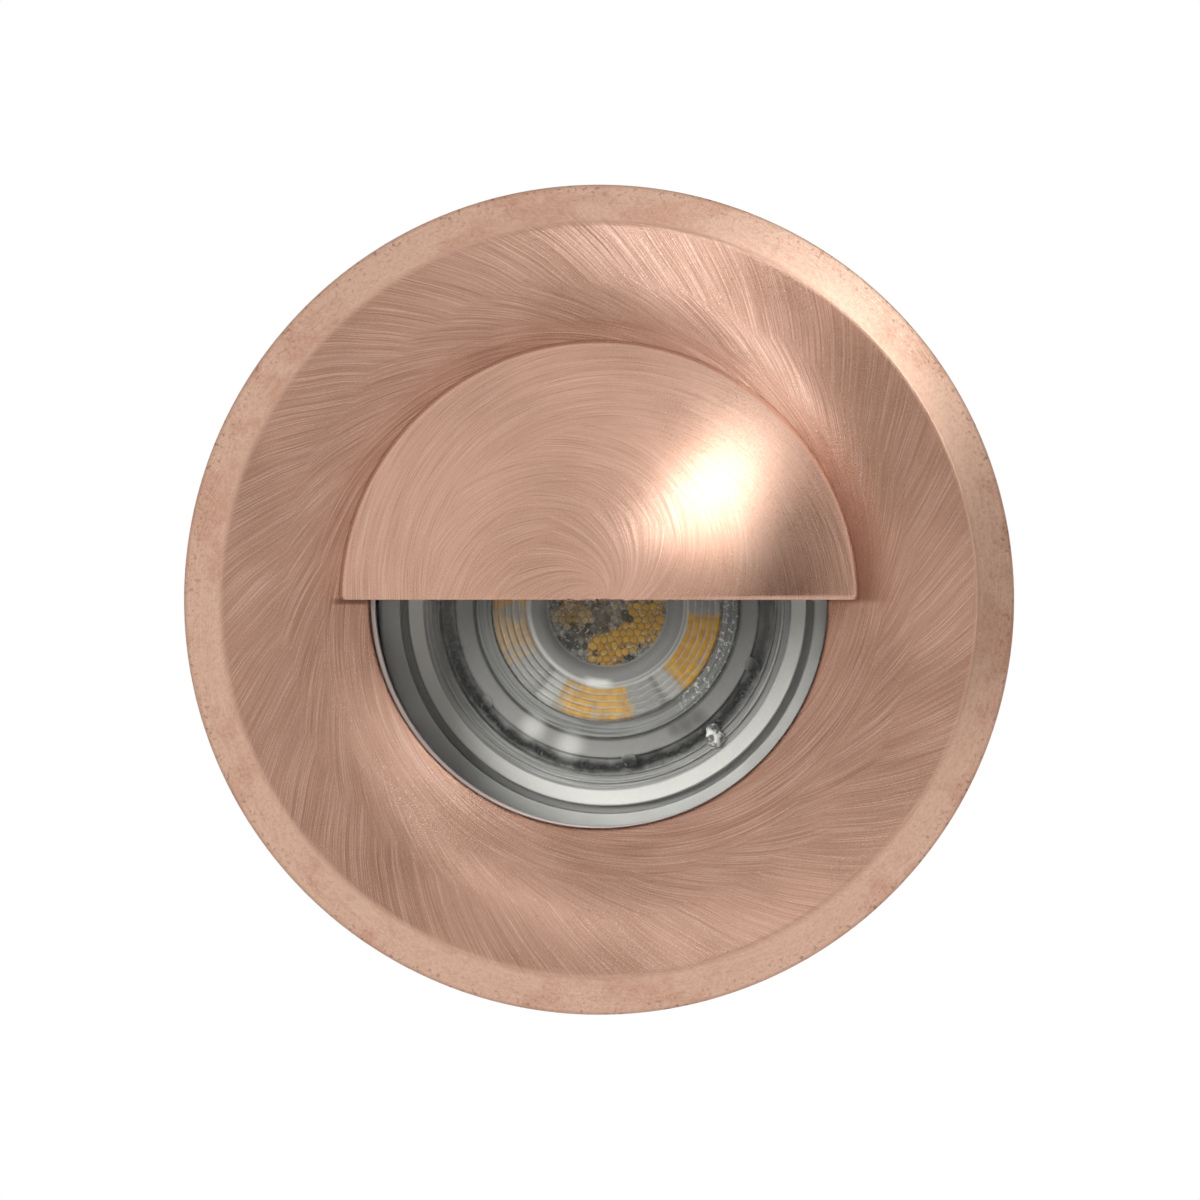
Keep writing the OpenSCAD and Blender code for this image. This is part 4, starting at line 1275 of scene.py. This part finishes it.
@dataclass
class Face:
    """The copper face with its hood, glass and glass gasket; sizes in mm.

    Attributes:
        opening_r: Radius of the opening.
        lip_round: Rounding of the opening's lip.
        lip_y: Depth of the lip's front.
        land_r: Radius of the flat land that the hood stands on.
        cone_r: Radius of a ring on the cone, which splits its long faces.
        crease_r: Radius of the crease before the rim.
        crease_y: Depth of the crease.
        crease_soft: Rounding of the crease.
        face_r: Radius of the face.
        rim_y: Depth of the rim's edge.
        rim_soft: Rounding of the rim's edge.
        back_y: Depth of the face's back.
        back_soft: Rounding of the back's edge.
        pocket_r: Radius of the pocket behind the face.
        pocket_y: Depth of the pocket's floor.
        spigot_r: Outer radius of the threaded spigot.
        spigot_bore_r: Its inner radius.
        spigot_end: Depth of its end.
        spigot_chamfer: Chamfer of its end.
        seat_y: Depth of the glass gasket's seat.
        thread_y: Depth at which the thread begins.
        thread_pitch: Pitch of the thread.
        thread_depth: Depth of its groove.
        thread_steps: Steps along the thread.
        hood_r: Radius of the hood at the land.
        hood_in_r: Its inner radius there.
        hood_reach: How far the hood stands out of the land.
        hood_crown: Thickness at its crown.
        hood_round_r: Radius at which its round crown gives way to its steeper side.
        hood_turn_r: Radius at which its side turns down to the land.
        hood_turn_soft: Rounding of that turn.
        hood_outer_slope: Slope of the side where it turns down.
        hood_lip: Width of the rounding of the hood's lip.
        hood_lip_sinks: How much smaller the hood is at the start and the end of that rounding.
        curve_steps: Steps along the hood's curves.
        glass_r: Radius of the glass.
        glass_front: Depth of its front.
        glass_back: Depth of its back.
        glass_edge: Width of its ground edges.
        gasket_lip_r: Inner radius of the gasket's lip.
        gasket_in_r: Inner radius behind the glass.
        gasket_slot_r: Radius of the slot that holds the glass.
        gasket_r: Outer radius.
        gasket_front: Depth of the gasket's front.
        gasket_back: Depth of its back.
        gasket_slot: Depths between which the slot lies.
        gasket_soft: Depth of the rounding of its edges.
        gasket_edge: Width of the rounding of its inner edges.
        gasket_shift: How far the gasket sits to the right.
    """

    opening_r: float = 24.7
    lip_round: float = 0.45
    lip_y: float = -5.4
    land_r: float = 28.6
    cone_r: float = 34.0
    crease_r: float = 40.9
    crease_y: float = -5.0
    crease_soft: float = 0.3
    face_r: float = 45.0
    rim_y: float = -2.2
    rim_soft: float = 0.35
    back_y: float = -0.2
    back_soft: float = 0.2
    pocket_r: float = 42.0
    pocket_y: float = -2.3
    spigot_r: float = 29.4
    spigot_bore_r: float = 27.5
    spigot_end: float = 8.0
    spigot_chamfer: float = 0.4
    seat_y: float = -2.8
    thread_y: float = 3.5
    thread_pitch: float = 1.5
    thread_depth: float = 0.55
    thread_steps: int = 30
    hood_r: float = 28.0
    hood_in_r: float = 25.0
    hood_reach: float = 17.0
    hood_crown: float = 2.0
    hood_round_r: float = 16.3
    hood_turn_r: float = 27.72
    hood_turn_soft: float = 1.4
    hood_outer_slope: float = 0.97
    hood_lip: float = 0.3
    hood_lip_sinks: Point = (0.03, 0.2)
    curve_steps: int = 40
    glass_r: float = 26.6
    glass_front: float = -2.0
    glass_back: float = 1.0
    glass_edge: float = 0.4
    gasket_lip_r: float = 24.5
    gasket_in_r: float = 25.0
    gasket_slot_r: float = 26.85
    gasket_r: float = 27.25
    gasket_front: float = -2.75
    gasket_back: float = 1.75
    gasket_slot: Point = (-2.02, 1.05)
    gasket_soft: float = 0.15
    gasket_edge: float = 0.1
    gasket_shift: float = 0.3

    def build(self, finishes: Finishes) -> None:
        """Builds and dresses the face's pieces.

        Args:
            finishes: The finishes.
        """
        show(self.plate(), "face", finishes.get(FACE_COPPER), ["face_plate"])
        show(self.hood(), "face", finishes.get(HOOD_COPPER), ["eyelid_hood"])
        show(self.glass(), "face_glass", finishes.get(GLASS), ["front_glass"])
        silicone = finishes.get(CLEAR_SILICONE)
        show(self.gasket(), "face_glass", silicone, ["glass_gasket"])

    def plate(self) -> bpy.types.Object:
        """The turned plate: lip, land, cone, crease, bevel, rim, pocket and threaded spigot.

        Returns:
            The plate.
        """
        lip, crease = (self.land_r, self.lip_y), (self.crease_r, self.crease_y)
        rim, back = (self.face_r, self.rim_y), (self.face_r, self.back_y)
        pocket = (self.pocket_r, self.back_y)
        fall = (self.crease_y - self.lip_y) / (self.crease_r - self.land_r)
        span = self.spigot_end - self.spigot_chamfer - self.thread_y
        thread = [(self.spigot_r, self.thread_y + span * i / self.thread_steps)
                  for i in range(self.thread_steps + 1)]
        outline = [
            (self.opening_r, self.seat_y),
            (self.opening_r, (self.seat_y + self.lip_y) / 2),
            *arc(self.opening_r + self.lip_round, self.lip_y + self.lip_round, self.lip_round,
                 180, 270, 7),
            lip,
            (self.cone_r, self.lip_y + (self.cone_r - self.land_r) * fall),
            *fillet(lip, crease, rim, self.crease_soft, 4),
            *fillet(crease, rim, back, self.rim_soft, 4),
            *fillet(rim, back, pocket, self.back_soft, 2),
            pocket,
            (self.pocket_r, self.pocket_y),
            (self.spigot_r, self.pocket_y),
            *thread,
            (self.spigot_r - self.spigot_chamfer, self.spigot_end),
            (self.spigot_bore_r, self.spigot_end),
            (self.spigot_bore_r, self.seat_y),
        ]
        part = Bench.turn("face_turned", outline, steps=256)
        self.cut_thread(part)
        return Bench.smooth(part, 32.0)

    def cut_thread(self, part: bpy.types.Object) -> None:
        """Sinks a helical groove into the spigot's outside.

        Args:
            part: The plate.
        """
        near, narrow = 0.05, 3.2
        for vertex in part.data.vertices:
            x, y, z = vertex.co / MM
            radius = math.hypot(x, z)
            if abs(radius - self.spigot_r) > near or y < self.thread_y + near:
                continue
            turn = (y / self.thread_pitch - math.atan2(z, x) / math.tau) % 1.0
            sink = self.thread_depth * max(0.0, 1.0 - abs(turn - 0.5) * narrow)
            scale = (radius - sink) / radius
            vertex.co = Vector((x * scale, y, z * scale)) * MM

    def dome(self) -> list[Point]:
        """The hood's outside, from its crown to its steep edge.

        Returns:
            Its points, as radius and depth in mm.
        """
        flat = math.sqrt(1.0 - (self.hood_round_r / self.hood_r) ** 2)
        slope_in = self.hood_reach * self.hood_round_r / self.hood_r ** 2 / flat
        points = []
        for i in range(1, self.curve_steps + 1):
            r = self.hood_turn_r * i / self.curve_steps
            if r <= self.hood_round_r:
                depth = self.hood_reach * (1.0 - math.sqrt(1.0 - (r / self.hood_r) ** 2))
            else:
                share = (r - self.hood_round_r) / (self.hood_turn_r - self.hood_round_r)
                slope = slope_in + (self.hood_outer_slope - slope_in) * share / 2
                depth = self.hood_reach * (1.0 - flat) + slope * (r - self.hood_round_r)
            points.append((r, self.lip_y - self.hood_reach + depth))
        corner = points.pop()
        return [*points, *fillet(points[-1], corner, (self.hood_r, self.lip_y), self.hood_turn_soft, 8),
                (self.hood_r, self.lip_y)]

    def hood(self) -> bpy.types.Object:
        """The half dome: a full shell that is cut along the axis, with its lip rounded.

        Returns:
            The hood.
        """
        inner_reach = self.hood_reach - self.hood_crown
        bends = [math.pi / 2 * i / self.curve_steps for i in range(self.curve_steps)]
        inner = [(self.hood_in_r * math.cos(a), self.lip_y - inner_reach * math.sin(a))
                 for a in bends]
        outline = [(0.0, self.lip_y - self.hood_reach), *self.dome(), *inner,
                   (0.0, self.lip_y - inner_reach)]
        part = Bench.turn("hood_spun", outline, steps=224, closed=False)
        Bench.pick(part)
        bpy.ops.object.mode_set(mode="EDIT")
        for height in (self.hood_lip * 2, self.hood_lip):
            bpy.ops.mesh.select_all(action="SELECT")
            bpy.ops.mesh.bisect(plane_co=(0, 0, height * MM), plane_no=(0, 0, 1))
        bpy.ops.mesh.select_all(action="SELECT")
        bpy.ops.mesh.bisect(plane_co=(0, 0, 0), plane_no=(0, 0, 1), use_fill=True, clear_inner=True)
        for height, sink in zip((self.hood_lip, 0.0), self.hood_lip_sinks):
            Bench.select(part, "VERT", lambda p: abs(p.z - height * MM) < 1e-6 and self.outside(p))
            smaller = 1.0 - sink / self.hood_r
            bpy.ops.transform.resize(value=(smaller, smaller, 1.0),
                                     center_override=(0.0, self.lip_y * MM, 0.0))
        bpy.ops.mesh.select_all(action="SELECT")
        bpy.ops.mesh.normals_make_consistent(inside=False)
        bpy.ops.object.mode_set(mode="OBJECT")
        return Bench.smooth(part, 40.0)

    def outside(self, p: Vector) -> bool:
        """Whether a point is on the hood's outside.

        Args:
            p: The point, in metres.

        Returns:
            True on the outside, and False on the inside.
        """
        across, deep = math.hypot(p.x, p.z) / MM, self.lip_y - p.y / MM
        middle_r = self.hood_r - self.hood_crown / 2
        middle_reach = self.hood_reach - self.hood_crown / 2
        return (across / middle_r) ** 2 + (deep / middle_reach) ** 2 > 1.0

    def glass(self) -> bpy.types.Object:
        """The glass disc with ground edges.

        Returns:
            The disc.
        """
        radius, front, back, edge = self.glass_r, self.glass_front, self.glass_back, self.glass_edge
        outline = [
            (0.0, front), (radius * 0.5, front), (radius - edge, front), (radius, front + edge),
            (radius, back - edge), (radius - edge, back), (radius * 0.5, back), (0.0, back),
        ]
        return Bench.smooth(Bench.turn("glass_disc", outline, steps=128, closed=False), 30.0)

    def gasket(self) -> bpy.types.Object:
        """The soft ring with a U section round the glass; its lip shows inside the opening.

        Returns:
            The ring.
        """
        soft, edge, (slot_front, slot_back) = self.gasket_soft, self.gasket_edge, self.gasket_slot
        front, back, lip = self.gasket_front, self.gasket_back, self.gasket_lip_r
        outline = [
            (lip, front + soft), (lip + edge, front),
            (self.gasket_r - soft, front), (self.gasket_r, front + soft),
            (self.gasket_r, back - soft), (self.gasket_r - soft, back),
            (self.gasket_in_r + edge, back), (self.gasket_in_r, back - soft),
            (self.gasket_in_r, slot_back), (self.gasket_slot_r, slot_back),
            (self.gasket_slot_r, slot_front), (lip + edge, slot_front), (lip, slot_front - 0.13),
        ]
        return Bench.smooth(Bench.turn("gasket_lip", outline, (self.gasket_shift, 0.0), 160), 40.0)


@dataclass
class Lamp:
    """The reflector lamp behind the glass; sizes in mm.

    Attributes:
        centre: The lamp's axis, along X and Z.
        front: Depth of the rim's front.
        rim_r: Radius of the rim.
        rim_round: Rounding of the rim's edge.
        rim_l: Depth of the rim.
        seat_r: Radius inside the rim, where it sits on the lamp's body.
        seat_y: Depth of that seat behind the front.
        shelf_r: Radius of the shelf that carries the lens.
        shelf_y: Depth of the shelf behind the front.
        lens_r: Radius of the lens.
        lens_play: Play between lens and rim.
        lens_y: Depth of the lens's face behind the front.
        dish: The lens's centre, as radius and depth behind its face.
        flange: The lens's steps outside the ridges, as radius and depth behind its face.
        flange_edge: Depth of the lens's edge behind its face.
        neck_r: Radius of the lens's neck at the shelf and at its end.
        neck_end: Depth of the neck's end behind the front.
        eye_r: Radius of the flat eye in the neck's end.
        ridge_in: Radius of the first ridge.
        ridge_pitch: Distance between ridges.
        ridge_count: How many ridges there are.
        ridge_h: Depth of a ridge's foot.
        stud_r: Radius of a mark of the mould's pins.
        stud_orbit: Their distance from the axis.
        stud_start: Angle of the first one, in degrees.
        stud_count: How many there are.
        nub_at: The clear lump's place, to the right of the axis and above it.
        nub_r: Its radius.
        nub_y: Its depth behind the front.
    """

    centre: Point = (0.9, -0.75)
    front: float = 5.6
    rim_r: float = 25.0
    rim_round: float = 0.45
    rim_l: float = 4.0
    seat_r: float = 23.75
    seat_y: float = 3.4
    shelf_r: float = 21.6
    shelf_y: float = 2.4
    lens_r: float = 22.6
    lens_play: float = 0.05
    lens_y: float = 0.6
    dish: tuple[Point, ...] = (
        (0.0, 1.2), (5.9, 1.15), (6.4, 1.05), (6.75, 0.75), (7.5, 0.1), (8.1, 0.0), (8.5, 0.05),
        (8.75, 0.3))
    flange: tuple[Point, ...] = (
        (12.6, 0.5), (12.75, 0.15), (14.3, 0.1), (14.4, 0.2), (14.52, 0.2), (14.62, 0.1), (16.5, 0.12),
        (16.75, 0.6), (18.15, 0.65), (18.3, 0.15), (18.45, 0.0), (18.6, 0.2), (19.1, 0.25),
        (19.2, 0.08), (19.32, 0.08), (19.4, 0.28), (20.05, 0.25), (20.2, 0.0), (21.65, 0.0),
        (21.8, 0.15), (21.85, 0.9))
    flange_edge: float = 0.95
    neck_r: Point = (13.6, 12.8)
    neck_end: float = 8.2
    eye_r: float = 5.6
    ridge_in: float = 8.9
    ridge_pitch: float = 0.73
    ridge_count: int = 5
    ridge_h: float = 0.2
    stud_r: float = 0.85
    stud_orbit: float = 17.0
    stud_start: float = -22.0
    stud_count: int = 6
    nub_at: Point = (11.85, -14.3)
    nub_r: float = 1.15
    nub_y: float = 0.75

    def build(self, finishes: Finishes) -> None:
        """Builds and dresses the lamp's pieces.

        Args:
            finishes: The finishes.
        """
        lens = finishes.get(LensFront("lens_front", self.centre))
        clear = finishes.get(Sparkle("lens_lump"))
        show(self.bezel(), "lamp", finishes.get(BEZEL_PAINT), ["lamp_bezel"])
        show(self.optic(), "lamp", lens, ["lamp_lens"])
        show(self.studs(), "lamp", lens)
        show(self.nub(), "lamp", clear)

    def bezel(self) -> bpy.types.Object:
        """The front rim with a rounded edge and an inner step.

        Returns:
            The rim.
        """
        f, rim, inner = self.front, self.rim_r, self.lens_r + self.lens_play
        outline = [
            (inner, f + 0.9), (inner, f + 0.25), (inner + 0.07, f + 0.08), (inner + 0.25, f),
            *arc(rim - self.rim_round, f + self.rim_round, self.rim_round, 270, 360, 5),
            (rim, f + self.rim_l), (self.seat_r, f + self.rim_l), (self.seat_r, f + self.seat_y),
            (self.shelf_r, f + self.seat_y), (self.shelf_r, f + self.shelf_y),
            (inner, f + self.shelf_y),
        ]
        return Bench.smooth(Bench.turn("lamp_rim", outline, self.centre, 160), 35.0)

    def optic(self) -> bpy.types.Object:
        """The lens: flat rim, sunk steps, ridges and a dished centre.

        Returns:
            The lens.
        """
        ridges: list[Point] = []
        for i in range(self.ridge_count):
            inner = self.ridge_in + i * self.ridge_pitch
            ridges += [(inner, self.ridge_h), (inner + self.ridge_pitch * 0.3, 0.05),
                       (inner + self.ridge_pitch * 0.65, 0.08)]
        face = self.front + self.lens_y
        shelf, end = self.front + self.shelf_y, self.front + self.neck_end
        outline = [(r, face + depth) for r, depth in (*self.dish, *ridges, *self.flange)]
        outline += [(self.lens_r, face + self.flange_edge), (self.lens_r, shelf),
                    (self.neck_r[0], shelf), (self.neck_r[1], end), (self.eye_r, end), (0.0, end)]
        return Bench.smooth(Bench.turn("lamp_optic", outline, self.centre, 192, closed=False), 35.0)

    def studs(self) -> bpy.types.Object:
        """The six round marks left by the mould's pins, modelled once and copied.

        Returns:
            The marks, as one piece.
        """
        face, edge = self.front + self.lens_y, self.stud_r
        turns = [math.radians(self.stud_start - i * 360 / self.stud_count)
                 for i in range(self.stud_count)]
        places = [Vector((self.centre[0] + self.stud_orbit * math.cos(a), 0.0,
                          self.centre[1] + self.stud_orbit * math.sin(a))) for a in turns]
        outline = [(0.0, face + 0.02), (edge - 0.2, face + 0.02), (edge - 0.1, face - 0.04),
                   (edge, face - 0.02), (edge + 0.05, face + 0.7), (0.0, face + 0.7)]
        first = Bench.turn("lens_studs", outline, (places[0].x, places[0].z), 40, closed=False)
        made = [first]
        for place in places[1:]:
            Bench.pick(first)
            bpy.ops.object.duplicate(linked=False)
            made.append(bpy.context.object)
            bpy.ops.transform.translate(value=(place - places[0]) * MM)
        Bench.clear()
        for stud in made:
            stud.select_set(True)
        bpy.context.view_layer.objects.active = first
        bpy.ops.object.join()
        return Bench.smooth(Bench.settle(bpy.context.object, "lens_studs"), 40.0)

    def nub(self) -> bpy.types.Object:
        """The lump of clear plastic where the lens was cut from its mould's feed.

        Returns:
            The lump.
        """
        x, z = self.centre[0] + self.nub_at[0], self.centre[1] + self.nub_at[1]
        at = Vector((x, self.front + self.nub_y, z)) * MM
        Bench.clear()
        bpy.ops.mesh.primitive_uv_sphere_add(segments=24, ring_count=14, radius=self.nub_r * MM,
                                             location=at)
        part = bpy.context.object
        bpy.ops.object.mode_set(mode="EDIT")
        bpy.ops.mesh.select_all(action="SELECT")
        bpy.ops.transform.resize(value=(0.95, 0.55, 1.1))
        Bench.select(part, "FACE", lambda p: p.z > at.z + 0.55 * MM)
        bpy.ops.transform.translate(value=(-0.25 * MM, 0.12 * MM, 0.25 * MM))
        Bench.select(part, "FACE", lambda p: p.x > at.x + 0.5 * MM)
        bpy.ops.transform.resize(value=(0.8, 0.8, 0.7))
        bpy.ops.object.mode_set(mode="OBJECT")
        return Bench.smooth(Bench.settle(part, "lens_nub"), 50.0)


@dataclass
class Spring:
    """A torsion spring of round wire on a wing's pin; sizes in mm.

    Attributes:
        side: 1 on the right, and -1 on the left.
        pin: The pin's place along X and Y.
        wire_r: Radius of the wire.
        coil_r: Radius of the coil, to the wire's middle.
        half_l: Half the coil's length.
        half_turns: How many half turns the coil has.
        rest_angle: Angle at which the wing stands at rest, in degrees.
        base_x: The foot's place on the bracket, along X from the pin.
        base_y: The foot's place along Y.
        web_x: Distance of the wing's web from the pin.
        leg: Where the leg under the wing begins and ends, along the wing.
        steps: Steps along the coil.
    """

    side: int
    pin: Point = (34.6, 48.0)
    wire_r: float = 0.35
    coil_r: float = 1.95
    half_l: float = 2.6
    half_turns: int = 9
    rest_angle: float = 12.0
    base_x: float = -2.2
    base_y: float = -6.0
    web_x: float = 0.5
    leg: Point = (7.0, 16.0)
    steps: int = 108

    def build(self, finishes: Finishes) -> None:
        """Builds and dresses the spring, which winds up between the bracket's end and the wing's.

        Args:
            finishes: The finishes.
        """
        name = "right" if self.side > 0 else "left"
        route = [Vector((self.side * (self.pin[0] + x), self.pin[1] + y, z))
                 for x, y, z in self.route()]
        part = Bench.wire(f"spring_{name}", route, self.wire_r)
        show(part, None, finishes.get(SPRING_STEEL), [f"wing_spring_{name}"])
        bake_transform(part)

    def route(self) -> list[Triple]:
        """The wire's middle, from its foot on the bracket to its tip under the wing.

        Returns:
            Its points about the pin, in mm.
        """
        a = math.radians(self.rest_angle)
        whole = self.half_turns * 180 - self.rest_angle
        points = [(self.base_x, self.base_y, -self.half_l)]
        for i in range(self.steps + 1):
            bend = math.radians(180 - whole * i / self.steps)
            points.append((self.coil_r * math.cos(bend), self.coil_r * math.sin(bend),
                           self.half_l * (2 * i / self.steps - 1)))
        for s in self.leg:
            points.append((self.web_x * math.cos(a) + s * math.sin(a),
                           self.web_x * math.sin(a) - s * math.cos(a), self.half_l))
        return points


@dataclass(frozen=True)
class Strip:
    """A long soft light that looks at the face.

    Attributes:
        name: The lamp's name.
        start: One end, as its angle about the face's axis, from the right through the top, and
            its angle off that axis, in degrees.
        end: The other end, in the same way.
        distance: Distance from the face, in metres.
        wide: Width, in metres.
        watts: Power.
        colour: Its colour.
    """

    name: str
    start: Point
    end: Point
    distance: float
    wide: float
    watts: float
    colour: Colour = (1.0, 1.0, 1.0)

    def hang(self) -> bpy.types.Object:
        """Hangs the light.

        Returns:
            The lamp.
        """
        ends = []
        for around, off in (self.start, self.end):
            a, b = math.radians(around), math.radians(off)
            way = Vector((math.sin(b) * math.cos(a), -math.cos(b), math.sin(b) * math.sin(a)))
            ends.append(way * self.distance)
        middle, along = (ends[0] + ends[1]) / 2, ends[1] - ends[0]
        back = middle.normalized()
        side = (along - back * along.dot(back)).normalized()
        data = bpy.data.lights.new(self.name, "AREA")
        data.shape = "RECTANGLE"
        data.size, data.size_y, data.energy = along.length, self.wide, self.watts
        data.color = self.colour
        lamp = bpy.data.objects.new(self.name, data)
        bpy.context.scene.collection.objects.link(lamp)
        lamp.location = middle
        lamp.rotation_euler = Matrix((side, back.cross(side), back)).transposed().to_euler()
        return lamp


@dataclass
class Studio:
    """The floor, the lights and the camera; sizes in metres.

    Attributes:
        photo_px: Width of the photograph, in pixels.
        rim_px: Width of the face in it, in pixels.
        distance: Distance from the camera to the face's rim.
        shift: The camera's shift along X and Z, as a share of the picture.
        floor_z: Height of the floor.
        floor_r: Radius of the floor.
        floor_glow: How much the floor's white adds where the camera sees it.
        wall_dims: How much the walls dim towards the camera, to the right and at the top.
        wall_diffuse: How bright the walls are for surfaces that don't mirror them.
        wall_warm: Colour of the dim wall at the right.
        key: The light that the copper mirrors.
        fill: The light on what doesn't mirror.
    """

    photo_px: float = 1200.0
    rim_px: float = 830.4
    distance: float = 0.9
    shift: Point = (0.00075, -0.00025)
    floor_z: float = -0.10
    floor_r: float = 0.42
    floor_glow: float = 0.8
    wall_dims: Triple = (0.08, 0.85, 0.08)
    wall_diffuse: float = 0.09
    wall_warm: Colour = (1.0, 0.78, 0.65)
    key: Strip = Strip("key", (32.0, 31.0), (49.0, 68.0), 0.62, 0.14, 1.55, (0.92, 1.0, 1.02))
    fill: Strip = Strip("fill", (151.0, 40.0), (162.0, 66.0), 0.60, 0.32, 9.8)

    def build(self) -> None:
        """Builds the stage."""
        self.floor()
        self.world()
        self.key.hang().visible_diffuse = False
        self.fill.hang().visible_glossy = False
        self.camera()

    def floor(self) -> None:
        """A pale round floor that shows white where nothing shades it."""
        Bench.clear()
        bpy.ops.mesh.primitive_circle_add(vertices=96, radius=self.floor_r, fill_type="NGON",
                                          location=(0.0, 0.0, self.floor_z))
        floor = bpy.context.object
        floor.name = "floor"
        g = Graph("pale_floor")
        path = g.node("ShaderNodeLightPath", {}, {})
        seen = g.math("ADD", path.out("Is Camera Ray"), path.out("Is Transmission Ray"), clamp=True)
        x, y, z = g.place()
        grain = g.noise(g.vector(x, y, z), 0.02, 2.0)
        tone = g.mix(grain * 0.3, (0.86, 0.86, 0.86), (0.82, 0.82, 0.82))
        plain = g.principled({"Base Color": tone, "Roughness": 0.8})
        lit = g.node("ShaderNodeAddShader", {}, {0: plain, 1: g.glow(self.floor_glow)}).out(0)
        shader = g.cover(path.out("Is Glossy Ray"), g.cover(seen, plain, lit), g.glow(1.0))
        floor.data.materials.append(g.finish(shader))

    def world(self) -> None:
        """Pale studio walls: white where they are seen, dimmer towards the camera and the right."""
        world = bpy.data.worlds.new("studio")
        bpy.context.scene.world = world
        world.use_nodes = True
        g = Graph("walls", world.node_tree)
        path = g.node("ShaderNodeLightPath", {}, {})
        way = g.node("ShaderNodeTexCoord", {}, {}).out("Generated")
        side = g.node("ShaderNodeSeparateXYZ", {}, {0: way})
        x, y, z = side.out(0), side.out(1), side.out(2)
        front = (0.0 - y).step(0.55, 0.95)
        right = x.step(0.3, 0.75) * (0.0 - y).step(-0.1, 0.25)
        right = right * (1.0 - g.math("ABSOLUTE", z - 0.05).step(0.3, 0.6))
        top = z.step(0.3, 0.8)
        front_dim, right_dim, top_dim = self.wall_dims
        walls = 1.0 - front * front_dim - right * right_dim - top * top_dim
        mirrored = path.out("Is Glossy Ray") * walls
        seen = g.math("MAXIMUM", path.out("Is Camera Ray"), path.out("Is Transmission Ray"))
        level = g.math("MAXIMUM", g.math("MAXIMUM", mirrored, seen), self.wall_diffuse)
        tint = g.mix(right * (1.0 - seen), (1.0, 1.0, 1.0), self.wall_warm)
        sky = g.node("ShaderNodeBackground", {}, {"Color": tint, "Strength": level}).out(0)
        g.node("ShaderNodeOutputWorld", {}, {"Surface": sky})

    def camera(self) -> None:
        """The camera, straight in front of the face."""
        data = bpy.data.cameras.new("camera")
        camera = bpy.data.objects.new("camera", data)
        bpy.context.scene.collection.objects.link(camera)
        face = Face()
        camera.location = (0.0, face.rim_y * MM - self.distance, 0.0)
        camera.rotation_euler = (math.pi / 2, 0.0, 0.0)
        data.sensor_width = 36.0
        frame_w = self.photo_px * 2 * face.face_r / self.rim_px
        data.lens = data.sensor_width * self.distance / (frame_w * MM)
        data.clip_start, data.clip_end = 0.01, 20.0
        data.shift_x, data.shift_y = self.shift
        bpy.context.scene.camera = camera


SIDES = ("right", "left")
PLAIN_NODES: dict[str, Finish] = {
    "face_oring": BLACK_RUBBER, "wall_gasket": BLACK_RUBBER, "cap_seal": BLACK_RUBBER,
    "lamp_body": LAMP_ALUMINIUM, "led_board": BOARD, "led_chips": PHOSPHOR, "lamp_pins": STAINLESS,
    "holder_contacts": CONTACT_BRASS, "holder_screws": STAINLESS, "bracket_screws": STAINLESS,
    "terminal_screws": CONTACT_BRASS, "holder_leads": LEAD_RED, "gland_washer": BLACK_RUBBER,
    "gland_seal": BLACK_RUBBER, "gland_locknut": STAINLESS,
    **{f"wing_pin_{side}": STAINLESS for side in SIDES},
}


@dataclass(frozen=True)
class Softened:
    """A CAD node that is shown with its edges broken.

    Attributes:
        node: The node's name.
        body: The body that it rides on.
        slot: Name of its material slot; not used.
        finish: Its finish.
        width: Width of the rounding, in mm.
    """

    node: str
    body: str
    slot: str
    finish: Finish
    width: float


def wing(side: str) -> list[Softened]:
    """The pieces of one wing.

    Args:
        side: Right or left.

    Returns:
        Bracket, screws, arm and sleeve.
    """
    return [
        Softened(f"wing_bracket_{side}", "barrel", "stainless", STAINLESS, 0.15),
        Softened(f"wing_screws_{side}", "barrel", "stainless", STAINLESS, 0.2),
        Softened(f"wing_arm_{side}", f"wing_{side}", "spring_steel", SPRING_STEEL, 0.15),
        Softened(f"wing_sleeve_{side}", f"wing_{side}", "black_rubber", BLACK_RUBBER, 0.4),
    ]


SOFTENED: list[Softened] = [
    Softened("barrel", "barrel", "dark_aluminium", DARK_ALUMINIUM, 0.15),
    Softened("rear_cap", "barrel", "dark_aluminium", DARK_ALUMINIUM, 0.2),
    Softened("cap_screws", "barrel", "stainless", STAINLESS, 0.12),
    Softened("glass_ring", "face", "lamp_aluminium", LAMP_ALUMINIUM, 0.2),
    Softened("lamp_base", "lamp", "lamp_plastic", LAMP_PLASTIC, 0.5),
    Softened("lamp_holder", "barrel", "ceramic", CERAMIC, 0.4),
    Softened("holder_bracket", "barrel", "stainless", STAINLESS, 0.12),
    Softened("terminal_block", "barrel", "black_nylon", BLACK_NYLON, 0.3),
    Softened("gland_body", "barrel", "black_nylon", BLACK_NYLON, 0.25),
    Softened("gland_nut", "gland_cap", "black_nylon", BLACK_NYLON, 0.25),
    *(row for side in SIDES for row in wing(side)),
]


def dress_nodes(finishes: Finishes) -> None:
    """Gives the CAD nodes that stay their finishes, and the others a copy with broken edges.

    Args:
        finishes: The finishes.
    """
    for name, finish in PLAIN_NODES.items():
        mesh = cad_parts[name].data
        mesh.materials.clear()
        mesh.materials.append(finishes.get(finish))
    for row in SOFTENED:
        part = Bench.soften(row.node, row.width)
        show(part, row.body, finishes.get(row.finish), [row.node])


def main() -> None:
    """Builds the light, its finishes and the studio."""
    finishes = Finishes()
    Studio().build()
    Face().build(finishes)
    Lamp().build(finishes)
    dress_nodes(finishes)
    for side in (1, -1):
        Spring(side).build(finishes)
    bpy.context.scene.view_settings.view_transform = "Standard"
    Bench.clear()


if __name__ == "__main__":
    main()
